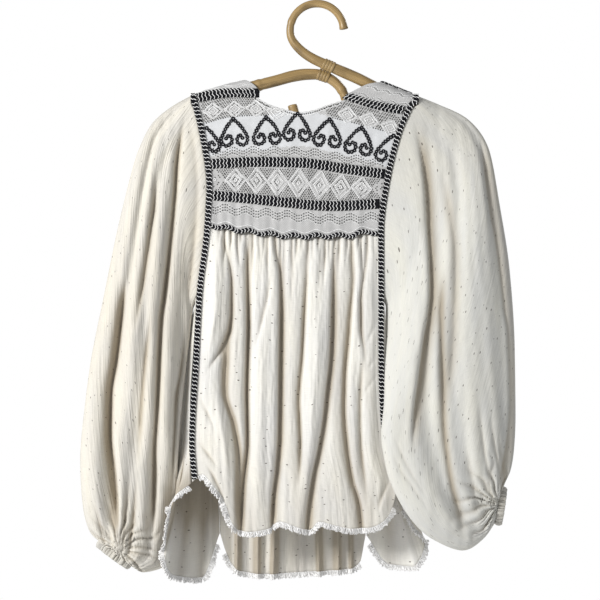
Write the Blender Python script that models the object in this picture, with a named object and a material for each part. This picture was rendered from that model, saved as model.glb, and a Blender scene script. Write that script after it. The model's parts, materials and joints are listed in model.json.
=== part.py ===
"""A peasant blouse hung on a bent cane hanger.

Every cloth piece is a thin wall made from a grid of points on the garment's surface. Lengths are in
millimetres and turn into metres when a mesh is made. +X is to the right of someone facing the front,
+Z is up, and the front faces -Y. The origin is the inside top of the hanger's hook.
"""

import math

import bpy
import numpy as np

MM = 0.001

# ---------------------------------------------------------------- driving sizes
WALL = 1.4  # gauze, seam allowances and lace as one wall
BRAID_THICK = 1.4
FRINGE_THICK = 3.0
GAP = 0.4  # between neighbouring pieces
SEAM_BRAID = 7.0  # width of the braid over the armhole seams
STRIPE_BRAID = 12.6  # width of the braids across the yoke
EDGE_BRAID = 5.6  # width of the braid over the gathers
FRINGE_REACH = 6.5
ARMHOLE_GAP = 1.6  # between the middles of two walls that meet edge to face
CUFF_DEEP = 10.0
CUFF_WALL = 2.0

HOOK_RADIUS = 35.2  # to the middle of the cane
CURL_CENTRE = (3.0, -123.4)
CURL_RADIUS = 35.2
BINDING_THICK = 0.8
BINDING_HALF = 5.5

UNDERARM = -383.0
FRONT_VENT = -618.0
BACK_VENT_LEFT = -688.0
BACK_VENT_RIGHT = -691.0

# ---------------------------------------------------------------- tables, in mm
# Middle of the armhole braids on the front: height, left x, right x.
FRONT_SEAMS = [
    # z, left x, right x
    (-95, -163, 137),
    (-115, -161, 129),
    (-163, -150, 107),
    (-233, -140, 90),
    (-292, -143, 83),
    (-370, -152, 83),
    (-467, -157, 83),
    (-568, -162, 88),
    (-618, -158, 100),
    (-700, -150, 108),
]
BACK_SEAMS = [
    (-95, -163, 137),
    (-115, -161, 129),
    (-163, -148, 104),
    (-233, -137, 86),
    (-300, -135, 79),
    (-400, -134, 77),
    (-560, -130, 70),
    (-690, -124, 61),
    (-760, -121, 58),
]
# How far the front and back stand off the middle plane: height, front, back.
DEPTHS = [
    (-95, 10.0, 10.0),
    (-300, 16.5, 16.0),
    (-430, 24.0, 22.0),
    (-560, 29.0, 26.0),
    (-760, 33.0, 30.0),
]
# The canes, along their middles: x, y, z, cane radius.
HOOK_TO_RIGHT_ARM = [
    (-34.6, 0.0, -37.0, 5.2),
    (-30.6, -0.3, -45.5, 5.7),
    (-23.1, -1.0, -54.5, 6.1),
    (-13.8, -2.4, -62.3, 6.3),
    (-4.0, -4.2, -68.4, 6.4),
    (7.0, -5.2, -73.6, 6.4),
    (17.3, -5.2, -77.9, 6.5),
    (27.4, -3.8, -82.2, 7.0),
    (39.5, -1.6, -87.2, 7.4),
    (53.0, 0.0, -93.0, 7.4),
    (76.0, 0.0, -104.5, 7.3),
    (130.0, -0.5, -129.5, 7.1),
    (160.0, -1.0, -145.0, 6.8),
    (182.0, -1.5, -157.5, 6.5),
]
LEFT_ARM_TO_CURL = [
    (-184.0, 0.0, -145.5, 6.6),
    (-161.0, 0.0, -129.5, 6.9),
    (-110.0, 0.0, -111.0, 7.2),
    (-74.0, 0.0, -101.5, 7.4),
    (-53.3, 0.8, -96.1, 7.4),
    (-30.0, 2.6, -89.6, 7.4),
    (-13.4, 4.2, -87.2, 7.2),
    (0.5, 5.4, -87.0, 6.9),
    (13.5, 5.6, -91.0, 6.6),
    (23.8, 5.0, -97.5, 6.4),
    (31.7, 3.8, -106.3, 6.2),
    (36.6, 3.4, -115.6, 6.2),
]
CURL_END = -172.0  # degrees from +X towards +Z
BINDINGS = [
    # name, cane, middle x
    ("binding_upper", "right", 15.5),
    ("binding_lower", "left", 9.0),
]
# The ridge the cloth lies over, above each arm: x, height of the arm's middle.
LEFT_RIDGE = [(-200, -150), (-184, -142.5), (-161, -125.5), (-110, -109.5), (-74, -101), (-44, -93.5), (-14, -89)]
RIGHT_RIDGE = [(8, -73.5), (30, -81.5), (53, -93), (76, -104.5), (130, -127), (184, -151), (202, -161)]

# Top edge of the front yoke: share of the way across, height.
FRONT_NECK = [
    (0.27, -115), (0.31, -122.5), (0.36, -129.5), (0.43, -135), (0.48, -138),
    (0.54, -136), (0.62, -127.5), (0.68, -122.0),
]
# Braids across the front yoke, measured at their middles.
FRONT_STRIPES = {
    "braid_front_upper": [(0, -206), (0.3, -203), (0.5, -204), (0.75, -212), (1, -220)],
    "braid_front_lower": [(0, -246), (0.2, -250), (0.45, -256), (0.7, -260.5), (1, -257)],
}
FRONT_YOKE_HEM = [(0, -284), (0.12, -289), (0.3, -295), (0.5, -299.5), (0.8, -299), (0.92, -294), (1, -298)]
BACK_STRIPES = {
    "braid_back_upper": [(0, -217), (0.5, -212), (1, -204)],
    "braid_back_lower": [(0, -263), (0.5, -258), (1, -250)],
}
BACK_YOKE_HEM = [(0, -303), (0.3, -302), (0.6, -297), (1, -290)]
BACK_NECK = [(0.27, -135), (0.33, -145), (0.42, -152), (0.52, -153), (0.6, -147), (0.68, -134)]
EDGE_SCALLOPS = 8
EDGE_SCALLOP_DEEP = 2.0

FRONT_HEM = [
    (0.0, -618), (0.055, -608), (0.11, -626), (0.145, -642), (0.17, -667), (0.2, -680), (0.25, -682),
    (0.35, -678), (0.41, -669), (0.48, -675), (0.55, -680), (0.6, -669), (0.68, -674), (0.76, -678),
    (0.85, -676), (0.92, -667), (0.965, -650), (1.0, -620),
]
BACK_HEM = [
    (0.0, -690), (0.03, -712), (0.07, -730), (0.13, -740), (0.3, -744), (0.45, -743), (0.7, -740),
    (0.9, -737), (0.97, -728), (1.0, -693),
]
# Troughs between the large pleats: share across at the yoke, halfway and hem, depth, half width.
FRONT_PLEATS = [
    ("left pair", 0.18, 0.18, 0.25, 11.0, 0.030),
    ("left inner", 0.27, 0.28, 0.29, 12.0, 0.030),
    ("centre left", 0.44, 0.47, 0.40, 12.0, 0.034),
    ("centre right", 0.73, 0.71, 0.57, 12.0, 0.034),
    ("right", 0.84, 0.79, 0.80, 10.0, 0.034),
]
BACK_PLEATS = [
    ("left", 0.14, 0.16, 0.12, 10.0, 0.040),
    ("left inner", 0.36, 0.33, 0.31, 11.0, 0.045),
    ("middle", 0.55, 0.56, 0.60, 10.0, 0.040),
    ("right", 0.80, 0.82, 0.84, 11.0, 0.040),
]

# Sections of a sleeve after the armhole: its inner edge, its outer edge and how far it swells.
LEFT_SLEEVE = [
    # name, inner x, y, z, outer x, y, z, front, back
    ("shoulder", -162.5, -9, -402, -189, 0, -130, 16, 16),
    ("bend", -165, -11, -425, -214, 0, -151, 20, 20),
    ("upper arm", -170, -14, -468, -232, -2, -185, 25, 24),
    ("high", -175, -20, -515, -254, -5, -265, 31, 30),
    ("middle", -182, -20, -575, -277, -8, -375, 37, 36),
    ("low", -191, 14, -652, -297, -9, -480, 40, 34),
    ("wrist side", -190, 18, -702, -308, -9, -590, 40, 30),
    ("sag", -199, 12, -731, -304, -9, -655, 36, 24),
    ("lip", -226, -4, -737, -294, -8, -686, 24, 18),
    ("cuff", -241, -8, -725, -283, -8, -694, 13, 13),
]
RIGHT_SLEEVE = [
    # name, inner x, y, z, outer x, y, z, front, back
    ("shoulder", 89.5, -12, -405, 160, 0, -128, 16, 16),
    ("bend", 89.5, -14, -430, 196, 0, -146, 20, 20),
    ("upper arm", 89.5, -18, -470, 223, -4, -183, 25, 24),
    ("high", 90, -30, -515, 238, -12, -262, 30, 32),
    ("middle", 89.5, -44, -556, 250, -18, -345, 27, 36),
    ("low", 98, -48, -600, 256, -22, -440, 26, 38),
    ("elbow", 118, -46, -652, 257, -24, -530, 27, 36),
    ("sag", 146, -40, -689, 255, -25, -575, 26, 32),
    ("lip", 188, -30, -706, 250, -26, -603, 22, 24),
    ("tuck", 214, -26, -692, 243, -26, -615, 18, 19),
    ("cuff", 229, -26, -672, 236, -26, -624, 13, 13),
]
FRONT_SWELL, BACK_SWELL = 0.75, 1.1  # low rises fast from the edges, high slowly

# Long folds of a sleeve: place across (0 inner, 1 outer) at top, middle and low, trough depth, half width.
LEFT_FOLDS = [
    ("beside the seam", 0.10, 0.06, 0.05, 7.0, 0.05),
    ("inner", 0.42, 0.27, 0.16, 11.0, 0.055),
    ("middle", 0.66, 0.50, 0.36, 8.0, 0.060),
    ("outer", 0.84, 0.74, 0.62, 13.0, 0.065),
]
RIGHT_FOLDS = [
    ("behind the flap", 0.48, 0.34, 0.30, 14.0, 0.070),
    ("middle", 0.70, 0.55, 0.50, 9.0, 0.070),
    ("outer", 0.93, 0.90, 0.88, 8.0, 0.050),
]
BACK_FOLDS = [
    ("inner", 0.35, 0.25, 0.25, 9.0, 0.070),
    ("middle", 0.60, 0.50, 0.50, 10.0, 0.070),
    ("outer", 0.82, 0.76, 0.74, 9.0, 0.060),
]

# Side panels, front seam to back seam, as rings of (x, y, z) from the underarm down to the hem.
SIDE_SHARES = (0.0, 0.14, 0.32, 0.5, 0.68, 0.84, 1.0)
LEFT_SIDE = [
    # share of the way down, points
    (0.0, [(-156.8, -18, -387), (-158, -14, -388), (-158.5, -7, -389), (-158, 0, -389),
           (-155, 7, -389), (-148, 13, -388), (-138, 17, -387)]),
    (0.1, [(-158.5, -20, -414), (-160.5, -16, -415), (-163, -7, -416), (-167, 2, -418),
           (-161, 11, -418), (-149, 16, -417), (-137.5, 18, -416)]),
    (0.2, [(-160.5, -22, -446), (-163, -17, -448), (-167, -5, -452), (-174, 6, -455),
           (-166, 14, -455), (-150, 18, -452), (-137, 20, -450)]),
    (0.5, [(-164.5, -26, -520), (-168, -20, -522), (-174, -6, -530), (-180, 7, -540),
           (-168, 16, -548), (-150, 21, -550), (-135, 24, -550)]),
    (0.72, [(-164.5, -27, -580), (-171, -22, -584), (-178, -10, -592), (-184, 7, -602),
            (-172, 16, -625), (-148, 21, -628), (-132, 25, -610)]),
    (0.86, [(-164, -28, -600), (-174, -28, -610), (-181, -24, -630), (-186, -16, -655),
            (-178, 4, -690), (-150, 18, -690), (-129.5, 26, -652)]),
    (1.0, [(-163, -29, -620), (-181, -33, -634), (-192, -35, -664), (-198, -31, -712),
           (-185, -13, -741), (-152, 14, -747), (-128, 27, -690)]),
]
RIGHT_SIDE = [
    (0.0, [(87.2, -18, -387), (87.4, -14, -388), (87.4, -7, -389), (88, 0, -389),
           (87.5, 7, -389), (85, 13, -388), (80, 17, -387)]),
    (0.3, [(86.8, -22, -465), (87.2, -17, -466), (88, -7, -468), (92, 4, -470),
           (90, 12, -470), (84, 17, -469), (76, 20.5, -468)]),
    (0.55, [(89, -25, -540), (91, -18, -545), (91.5, -6, -550), (92, 6, -552),
            (89, 15, -553), (85, 20, -553), (76, 23, -553)]),
    (1.0, [(105, -28, -622), (110, -20, -638), (122, 0, -672), (142, 14, -702),
           (126, 22, -733), (96, 26, -731), (65.5, 28, -693)]),
]

MATERIALS = {
    "gauze": ((0.80, 0.77, 0.69), 0.92, 0.0),
    "lace": ((0.84, 0.83, 0.80), 0.92, 0.0),
    "braid": ((0.05, 0.05, 0.06), 0.80, 0.0),
    "fringe": ((0.88, 0.87, 0.85), 0.95, 0.0),
    "cane": ((0.55, 0.37, 0.17), 0.45, 0.0),
    "cane_skin": ((0.60, 0.43, 0.23), 0.50, 0.0),
}


# ---------------------------------------------------------------- curves and surfaces
def curve(rows, column=1):
    """A smooth function through table rows, keyed by the first column, that doesn't overshoot."""
    rows = sorted(rows)
    keys = np.array([row[0] for row in rows], float)
    values = np.array([row[column] for row in rows], float)
    slopes = np.diff(values) / np.diff(keys)
    tangents = np.zeros(len(keys))
    tangents[0], tangents[-1] = slopes[0], slopes[-1]
    for i in range(1, len(keys) - 1):
        before, after = slopes[i - 1], slopes[i]
        if before * after > 0:
            tangents[i] = 2 * before * after / (before + after)

    def at(key):
        key = np.clip(key, keys[0], keys[-1])
        i = np.clip(np.searchsorted(keys, key, side="right") - 1, 0, len(keys) - 2)
        span = keys[i + 1] - keys[i]
        t = (key - keys[i]) / span
        rise = values[i + 1] - values[i]
        a = tangents[i] * span - rise
        b = -tangents[i + 1] * span + rise
        return values[i] + t * rise + t * (1 - t) * ((1 - t) * a + t * b)

    return at


def ease(value, low, high):
    """0 below low, 1 above high, smooth between."""
    t = np.clip((value - low) / (high - low), 0.0, 1.0)
    return t * t * (3 - 2 * t)


def mix(a, b, share):
    return a + (b - a) * share


front_left, front_right = curve(FRONT_SEAMS, 1), curve(FRONT_SEAMS, 2)
back_left, back_right = curve(BACK_SEAMS, 1), curve(BACK_SEAMS, 2)
front_depth, back_depth = curve(DEPTHS, 1), curve(DEPTHS, 2)
left_arm_height, right_arm_height = curve(LEFT_RIDGE), curve(RIGHT_RIDGE)
HALF_SEAM = SEAM_BRAID / 2


def fold_columns(folds, widest, extra=()):
    """Places across (0 to 1) for a grid's columns: close together in the folds, at most widest apart."""
    places = {0.0, 1.0, *extra}
    for _, _, middle, _, _, half_width in folds:
        for step in (-1.3, 0.0, 1.3):
            place = middle + step * half_width
            if 0.03 < place < 0.97:
                places.add(place)
    places = sorted(places)
    kept = [places[0]]
    for place in places[1:]:
        if place - kept[-1] < 0.02 and place < 1.0:
            continue
        pieces = math.ceil((place - kept[-1]) / widest)
        start = kept[-1]
        kept += [start + (place - start) * (i + 1) / pieces for i in range(pieces)]
    return np.array(kept)


def follow_folds(folds, columns, down):
    """Where each column lies at a height, so that a fold which wanders stays on its own columns."""
    nodes = [(0.0, 0.0)]
    for _, top, middle, low, _, _ in sorted(folds, key=lambda fold: fold[2]):
        nodes.append((middle, float(curve([(0, top), (0.5, middle), (1, low)])(down))))
    nodes.append((1.0, 1.0))
    return curve(nodes)(columns)


def fold_depths(folds, columns):
    """How far each column's cloth sinks into the garment."""
    sunk = np.zeros(len(columns))
    for _, _, middle, _, depth, half_width in folds:
        sunk += depth * np.exp(-(((columns - middle) / half_width) ** 2))
    return sunk


def front_at(share, z):
    """The front of the garment: share 0 at the left armhole seam and 1 at the right one."""
    x = mix(front_left(z) - HALF_SEAM, front_right(z) + HALF_SEAM, share)
    return np.array([x, -front_depth(z), z])


def back_at(share, z):
    x = mix(back_left(z) - HALF_SEAM, back_right(z) + HALF_SEAM, share)
    return np.array([x, back_depth(z), z])


def over_arm(height_of, x, along, depth=front_depth):
    """Cloth over a cane arm: along is 0 on the ridge, and grows down the front, or down the back below 0."""
    middle = height_of(x)
    radius = depth(middle)
    quarter = radius * math.pi / 2
    side = -1 if along > 0 else 1
    along = abs(along)
    if along < quarter:
        angle = along / radius
        return np.array([x, side * radius * math.sin(angle), middle + radius * math.cos(angle)])
    z = middle - (along - quarter)
    stand_off = front_depth(z) if side < 0 else back_depth(z)
    return np.array([x, side * max(stand_off, radius), z])


# The shoulder straps: how far the seams lie from the ridge, and their ends across.
LEFT_STRAP = {
    "height": left_arm_height,
    "front": [(0, 15.5), (1, 15.5)],
    "back": [(0, -28), (1, -28)],
    "outer": [(-60, -157), (-15, -162), (0, -164), (15, -164), (60, -155)],
    "neck": [(-60, -76), (-28, -86), (-15, -94), (0, -96), (8, -90), (16, -81), (25, -74)],
}
RIGHT_STRAP = {
    "height": right_arm_height,
    "front": [(0, 31), (0.3, 36), (0.7, 43), (1, 47)],
    "back": [(0, -9), (1, -5)],
    "outer": [(-60, 125), (-15, 131), (0, 133), (21, 123), (31, 120), (60, 111)],
    "neck": [(-60, 64), (-20, 84), (0, 86), (20, 63), (39, 44), (50, 34), (60, 26)],
}


def strap_at(strap, across, along):
    """across is 0 at the armhole and 1 at the neck."""
    x = mix(curve(strap["outer"])(along), curve(strap["neck"])(along), across)
    return over_arm(strap["height"], x, along)


def normal_of(surface, a, b, outward):
    """The unit normal of surface(a, b), turned to the side where outward points."""
    step = 0.004
    middle = surface(a, b)
    along_a = surface(a + step, b) - surface(a - step, b)
    along_b = surface(a, b + 1.0) - surface(a, b - 1.0)
    normal = np.cross(along_a, along_b)
    normal /= np.linalg.norm(normal)
    facing = outward(middle) if callable(outward) else outward
    return normal if normal @ np.array(facing, float) > 0 else -normal


def lifted(surface, a, b, height, outward):
    return surface(a, b) + normal_of(surface, a, b, outward) * height


# ---------------------------------------------------------------- meshes
def clear_scene():
    for obj in list(bpy.data.objects):
        bpy.data.objects.remove(obj)


def make_materials():
    for name, (colour, roughness, metallic) in MATERIALS.items():
        material = bpy.data.materials.new(name)
        material.use_nodes = True
        shader = material.node_tree.nodes["Principled BSDF"]
        shader.inputs["Base Color"].default_value = (*colour, 1.0)
        shader.inputs["Roughness"].default_value = roughness
        shader.inputs["Metallic"].default_value = metallic


def add_object(name, mesh, material):
    mesh.materials.append(bpy.data.materials[material])
    mesh.shade_smooth()
    mesh.set_sharp_from_angle(angle=math.radians(50))
    obj = bpy.data.objects.new(name, mesh)
    bpy.context.scene.collection.objects.link(obj)
    return obj


def cloth(name, grid, material, thickness=WALL, around=False):
    """A wall centred on a grid of points, rows by columns. around joins the last column to the first."""
    grid = np.array(grid, float)
    rows, columns = grid.shape[:2]
    faces = []
    for i in range(rows - 1):
        for j in range(columns if around else columns - 1):
            k = (j + 1) % columns
            faces.append((i * columns + j, i * columns + k, (i + 1) * columns + k, (i + 1) * columns + j))
    mesh = bpy.data.meshes.new(name)
    mesh.from_pydata((grid.reshape(-1, 3) * MM).tolist(), [], faces)
    mesh.validate()
    obj = add_object(name, mesh, material)
    wall = obj.modifiers.new("Wall", "SOLIDIFY")
    wall.thickness = thickness * MM
    wall.offset = 0.0
    wall.use_rim = True
    return obj


def ribbon(name, surface, lines, material, outward, height, thickness=BRAID_THICK):
    """A strip lying on a surface: lines is a list of rows of (a, b) places, across the strip."""
    grid = [[lifted(surface, a, b, height, outward) for a, b in row] for row in lines]
    return cloth(name, grid, material, thickness)


def tube(name, rows, material, sides=12):
    """A round cane with flat ends along rows of x, y, z, radius."""
    line = bpy.data.curves.new(name, "CURVE")
    line.dimensions = "3D"
    line.bevel_depth = MM
    line.bevel_resolution = sides // 4 - 1
    line.use_fill_caps = True
    path = line.splines.new("POLY")
    path.points.add(len(rows) - 1)
    for point, row in zip(path.points, rows):
        point.co = (*(row[:3] * MM), 1.0)
        point.radius = row[3]
    line.materials.append(bpy.data.materials[material])
    obj = bpy.data.objects.new(name, line)
    bpy.context.scene.collection.objects.link(obj)
    return obj


ON_PANEL = WALL / 2 + GAP + BRAID_THICK / 2
FRONT_OUT, BACK_OUT = (0, -1, 0), (0, 1, 0)


# ---------------------------------------------------------------- the hanger
def smooth_path(rows, spacing):
    """Points evenly spaced along table rows of x, y, z, radius."""
    rows = np.array(rows, float)
    steps = np.concatenate([[0], np.cumsum(np.linalg.norm(np.diff(rows[:, :3], axis=0), axis=1))])
    fits = [curve(list(zip(steps, rows[:, column]))) for column in range(4)]
    places = np.linspace(0, steps[-1], max(2, round(steps[-1] / spacing) + 1))
    return np.stack([fit(places) for fit in fits], axis=1)


def hook_rows():
    """Round the hook from its open tip, then down the neck and along the right arm."""
    middle = -(HOOK_RADIUS - 4.9)
    rows = []
    for degrees in np.linspace(4, 184, 21):
        turn = math.radians(degrees)
        radius = mix(5.8, 4.9, ease(degrees, 0, 60))
        rows.append((HOOK_RADIUS * math.cos(turn), 0.0, middle + HOOK_RADIUS * math.sin(turn), radius))
    return rows + HOOK_TO_RIGHT_ARM


def curl_rows():
    rows = list(LEFT_ARM_TO_CURL)
    for degrees in np.linspace(0, CURL_END, 19):
        turn = math.radians(degrees)
        x, z = CURL_CENTRE[0] + CURL_RADIUS * math.cos(turn), CURL_CENTRE[1] + CURL_RADIUS * math.sin(turn)
        rows.append((x, 3.4, z, 6.2))
    return rows


def build_hanger():
    paths = {"right": smooth_path(hook_rows(), 8.5), "left": smooth_path(curl_rows(), 8.5)}
    tube("cane_hook_and_right_arm", paths["right"], "cane")
    tube("cane_left_arm_and_curl", paths["left"], "cane")
    for name, cane, middle_x in BINDINGS:
        path = paths[cane]
        upper_half = path[:, 2] > -100
        i = int(np.argmin(np.where(upper_half & (path[:, 2] < -60), abs(path[:, 0] - middle_x), 1e9)))
        along = path[i + 1, :3] - path[i - 1, :3]
        along /= np.linalg.norm(along)
        binding(name, path[i, :3], along, path[i - 1 : i + 2, 3].max())


def binding(name, centre, along, cane_radius):
    """A wrap of split cane round a straight stretch of cane."""
    sides = 16
    across = np.cross(along, (0, 1, 0))
    radius = (cane_radius + GAP + 0.25 + BINDING_THICK / 2) / math.cos(math.pi / sides)
    grid = []
    for end in (-BINDING_HALF, 0.0, BINDING_HALF):
        turns = [2 * math.pi * k / sides for k in range(sides)]
        grid.append([centre + along * end + radius * (math.cos(t) * across + math.sin(t) * np.array([0, 1, 0])) for t in turns])
    cloth(name, grid, "cane_skin", BINDING_THICK, around=True)


# ---------------------------------------------------------------- the yoke
YOKE_COLUMNS = 16
YOKE_ROWS = 4


def strap_seam_height(strap, side, share, panel_at):
    """Height of a strap's seam at a place across the garment, found by stepping down the surface."""
    across = share / 0.27 if strap is LEFT_STRAP else (1 - share) / 0.32
    across = min(max(across, 0.0), 1.0)
    along = curve(strap[side])(across)
    return strap_at(strap, across, along)[2]


def front_top(share):
    """Top edge of the front yoke, along the left strap, the neck and the right strap."""
    if share < FRONT_NECK[0][0]:
        return strap_seam_height(LEFT_STRAP, "front", share, front_at) - 1.0
    if share > FRONT_NECK[-1][0]:
        return strap_seam_height(RIGHT_STRAP, "front", share, front_at) - 1.0
    return curve(FRONT_NECK)(share)


def back_top(share):
    if share < BACK_NECK[0][0]:
        return strap_seam_height(LEFT_STRAP, "back", share, back_at) - 1.0
    if share > BACK_NECK[-1][0]:
        return min(-115.0, strap_seam_height(RIGHT_STRAP, "back", share, back_at) - 12.0)
    return curve(BACK_NECK)(share)


def yoke_grid(surface, top, bottom):
    shares = [j / YOKE_COLUMNS for j in range(YOKE_COLUMNS + 1)]
    return [
        [surface(s, mix(top(s), bottom(s), i / YOKE_ROWS)) for s in shares]
        for i in range(YOKE_ROWS + 1)
    ]


def build_yoke():
    front_bottom = curve(FRONT_YOKE_HEM)
    back_bottom = curve(BACK_YOKE_HEM)
    cloth("yoke_front", yoke_grid(front_at, front_top, front_bottom), "lace")
    cloth("yoke_back", yoke_grid(back_at, back_top, back_bottom), "lace")


def build_straps():
    for name, strap in (("strap_left", LEFT_STRAP), ("strap_right", RIGHT_STRAP)):
        front, back = curve(strap["front"]), curve(strap["back"])
        across = [0.004 + 0.992 * j / 4 for j in range(5)]
        grid = [
            [strap_at(strap, a, mix(front(a) - GAP, back(a) + GAP, i / 9)) for a in across]
            for i in range(10)
        ]
        cloth(name, grid, "lace")


# ---------------------------------------------------------------- the panels
FRONT_PANEL = {"surface": front_at, "top": FRONT_YOKE_HEM, "hem": FRONT_HEM, "pleats": FRONT_PLEATS, "out": -1}
BACK_PANEL = {"surface": back_at, "top": BACK_YOKE_HEM, "hem": BACK_HEM, "pleats": BACK_PLEATS, "out": 1}
PLEAT_PUSH = 3.5  # how far the cloth between troughs stands out
HEM_CORNERS = (0.035, 0.07, 0.11, 0.15, 0.88, 0.92, 0.96)  # extra columns where the hem turns up to a vent


def panel_row(panel, columns, down):
    """Points across a gathered panel, down being 0 at the yoke and 1 at the hem."""
    shares = follow_folds(panel["pleats"], columns, down)
    top, bottom = curve(panel["top"])(shares) - WALL, curve(panel["hem"])(shares)
    points = panel["surface"](shares, mix(top, bottom, down)).T
    inside = ease(shares, 0.035, 0.13) * ease(1 - shares, 0.035, 0.13)
    deep = ease(down, 0.0, 0.3) * (0.7 + 0.3 * down)
    points[:, 1] -= panel["out"] * inside * deep * (fold_depths(panel["pleats"], columns) - PLEAT_PUSH)
    return points


def build_panels():
    for name, panel, rows in (("panel_front", FRONT_PANEL, 7), ("panel_back", BACK_PANEL, 6)):
        columns = fold_columns(panel["pleats"], 0.07, HEM_CORNERS)
        cloth(name, [panel_row(panel, columns, i / rows) for i in range(rows + 1)], "gauze")


def side_at(rings, share, down):
    """A side panel: share 0 at the front seam, 1 at the back seam; down 0 underarm, 1 at the hem."""
    place = []
    for axis in range(3):
        levels = [(level, curve([(s, p[axis]) for s, p in zip(SIDE_SHARES, ring)])(share)) for level, ring in rings]
        place.append(curve(levels)(down))
    return np.array(place)


def build_side_panels():
    for name, rings in (("side_panel_left", LEFT_SIDE), ("side_panel_right", RIGHT_SIDE)):
        grid = [[side_at(rings, s / 10, d / 8) for s in range(11)] for d in range(9)]
        cloth(name, grid, "gauze")


# ---------------------------------------------------------------- the sleeves
SLEEVE_RINGS = 15


def armhole_half(side, face):
    """The armhole from under the arm up one face's seam to the top of the shoulder."""
    left = side == "left"
    if face < 0:
        seam, depth = (front_left if left else front_right), front_depth
    else:
        seam, depth = (back_left if left else back_right), back_depth
    height = left_arm_height if left else right_arm_height
    sign = -1 if left else 1
    top_x = (front_left if left else front_right)(-115) + sign * (HALF_SEAM + ARMHOLE_GAP)
    middle = height(top_x)
    radius = depth(middle) + 0.3

    def beside(z):
        return seam(z) + sign * (HALF_SEAM + ARMHOLE_GAP + 1.2 * ease(-z, -UNDERARM - 50, -UNDERARM))

    front_seam = front_left if left else front_right
    path = [(front_seam(UNDERARM) + sign * (HALF_SEAM + 3.8), -6.0, UNDERARM - 1)]
    path.append((mix(path[0][0], beside(UNDERARM), 0.6), face * 0.7 * depth(UNDERARM), UNDERARM))
    for z in np.linspace(UNDERARM + 8, middle - 6, 14):
        path.append((beside(z), face * max(depth(z), radius), z))
    for degrees in (0, 30, 60, 90):
        turn = math.radians(degrees)
        path.append((top_x, face * radius * math.cos(turn), middle + radius * math.sin(turn)))
    return np.array(path)


def on_path(path, shares):
    steps = np.concatenate([[0], np.cumsum(np.linalg.norm(np.diff(path, axis=0), axis=1))])
    return np.stack([np.interp(shares * steps[-1], steps, path[:, axis]) for axis in range(3)], axis=1)


def spread(shares):
    """Puts more of the places near the outer edge, where a gathered sleeve head has most cloth."""
    return 1 - (1 - shares) ** 1.8


def section(row, shares, face, gather):
    """Points on one face of a sleeve's flattened section, 0 at the inner edge and 1 at the outer."""
    _, inner_x, inner_y, inner_z, outer_x, outer_y, outer_z, front, back = row
    shares = mix(shares, spread(shares), gather)
    rise = 2 * np.sqrt(np.clip(shares * (1 - shares), 0, 1))
    power = FRONT_SWELL if face < 0 else np.where(shares < 0.5, BACK_SWELL, FRONT_SWELL)
    swell = (-front if face < 0 else back) * rise**power
    return np.stack([
        mix(inner_x, outer_x, shares),
        mix(inner_y, outer_y, shares) + swell,
        mix(inner_z, outer_z, shares),
    ], axis=1)


def sleeve_half(side, table, folds, face, columns):
    """Rows of points down one face of a sleeve, from the armhole to the cuff."""
    path = armhole_half(side, face)
    last = len(table)
    keys = np.arange(last + 1)
    rows = []
    for key in np.linspace(0, last, SLEEVE_RINGS):
        down = key / last
        shares = follow_folds(folds, columns, down)
        stations = [on_path(path, spread(shares))]
        for i, row in enumerate(table):
            stations.append(section(row, shares, face, 1 - ease(i, 0, 4)))
        stations = np.array(stations)
        row = np.zeros((len(columns), 3))
        for j in range(len(columns)):
            for axis in range(3):
                row[j, axis] = curve(list(zip(keys, stations[:, j, axis])))(key)
        rise = 2 * np.sqrt(np.clip(columns * (1 - columns), 0, 1))
        deep = rise**0.7 * ease(down, 0.02, 0.3) * ease(1 - down, 0.04, 0.25)
        row[:, 1] -= face * deep * fold_depths(folds, columns)
        rows.append(row)
    return rows


def sleeve_columns(folds):
    columns = set(fold_columns(folds, 0.16)) | {0.02, 0.98}
    return np.array(sorted(columns))


def sleeve_rings(side, table, folds):
    front_columns, back_columns = sleeve_columns(folds), sleeve_columns(BACK_FOLDS)
    front = sleeve_half(side, table, folds, -1, front_columns)
    back = sleeve_half(side, table, BACK_FOLDS, 1, back_columns)
    return np.array([np.concatenate([f, b[-2:0:-1]]) for f, b in zip(front, back)])


def cuff_way(table):
    """The direction a cuff points in: square to its section."""
    _, inner_x, _, inner_z, outer_x, _, outer_z, _, _ = table[-1]
    across = np.array([outer_x - inner_x, 0, outer_z - inner_z], float)
    way = np.cross(across, (0, 1, 0))
    way /= np.linalg.norm(way)
    return way if way @ np.array([outer_x, 0, -400]) > 0 else -way


def build_sleeves():
    for side, table, folds in (("left", LEFT_SLEEVE, LEFT_FOLDS), ("right", RIGHT_SLEEVE, RIGHT_FOLDS)):
        rings = sleeve_rings(side, table, folds)
        way = cuff_way(table)
        centre = rings[-1].mean(axis=0)
        rings[-1] = centre + (rings[-1] - centre) * 0.97
        neck = centre + (rings[-1] - centre) * 1.05 - way * 4.0
        rings = np.concatenate([rings[:-1], [neck], rings[-1:]])
        cloth(f"sleeve_{side}", rings, "gauze", around=True)
        start = rings[-1][::2] + way * (WALL / 2 + GAP)
        grid = [start + way * CUFF_DEEP * share for share in (0, 1)]
        cloth(f"cuff_{side}", grid, "gauze", CUFF_WALL, around=True)


# ---------------------------------------------------------------- braids and fringe
def across_lines(middle_of, width, start, end, count):
    """Rows of (share, z) across a braid that runs from side to side."""
    rows = []
    for i in range(count + 1):
        share = mix(start, end, i / count)
        rows.append([(share, middle_of(share) + width * offset) for offset in (0.5, 0, -0.5)])
    return rows


def scalloped(middle_of):
    return lambda s: middle_of(s) + EDGE_SCALLOP_DEEP * math.cos(2 * math.pi * EDGE_SCALLOPS * s)


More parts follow.
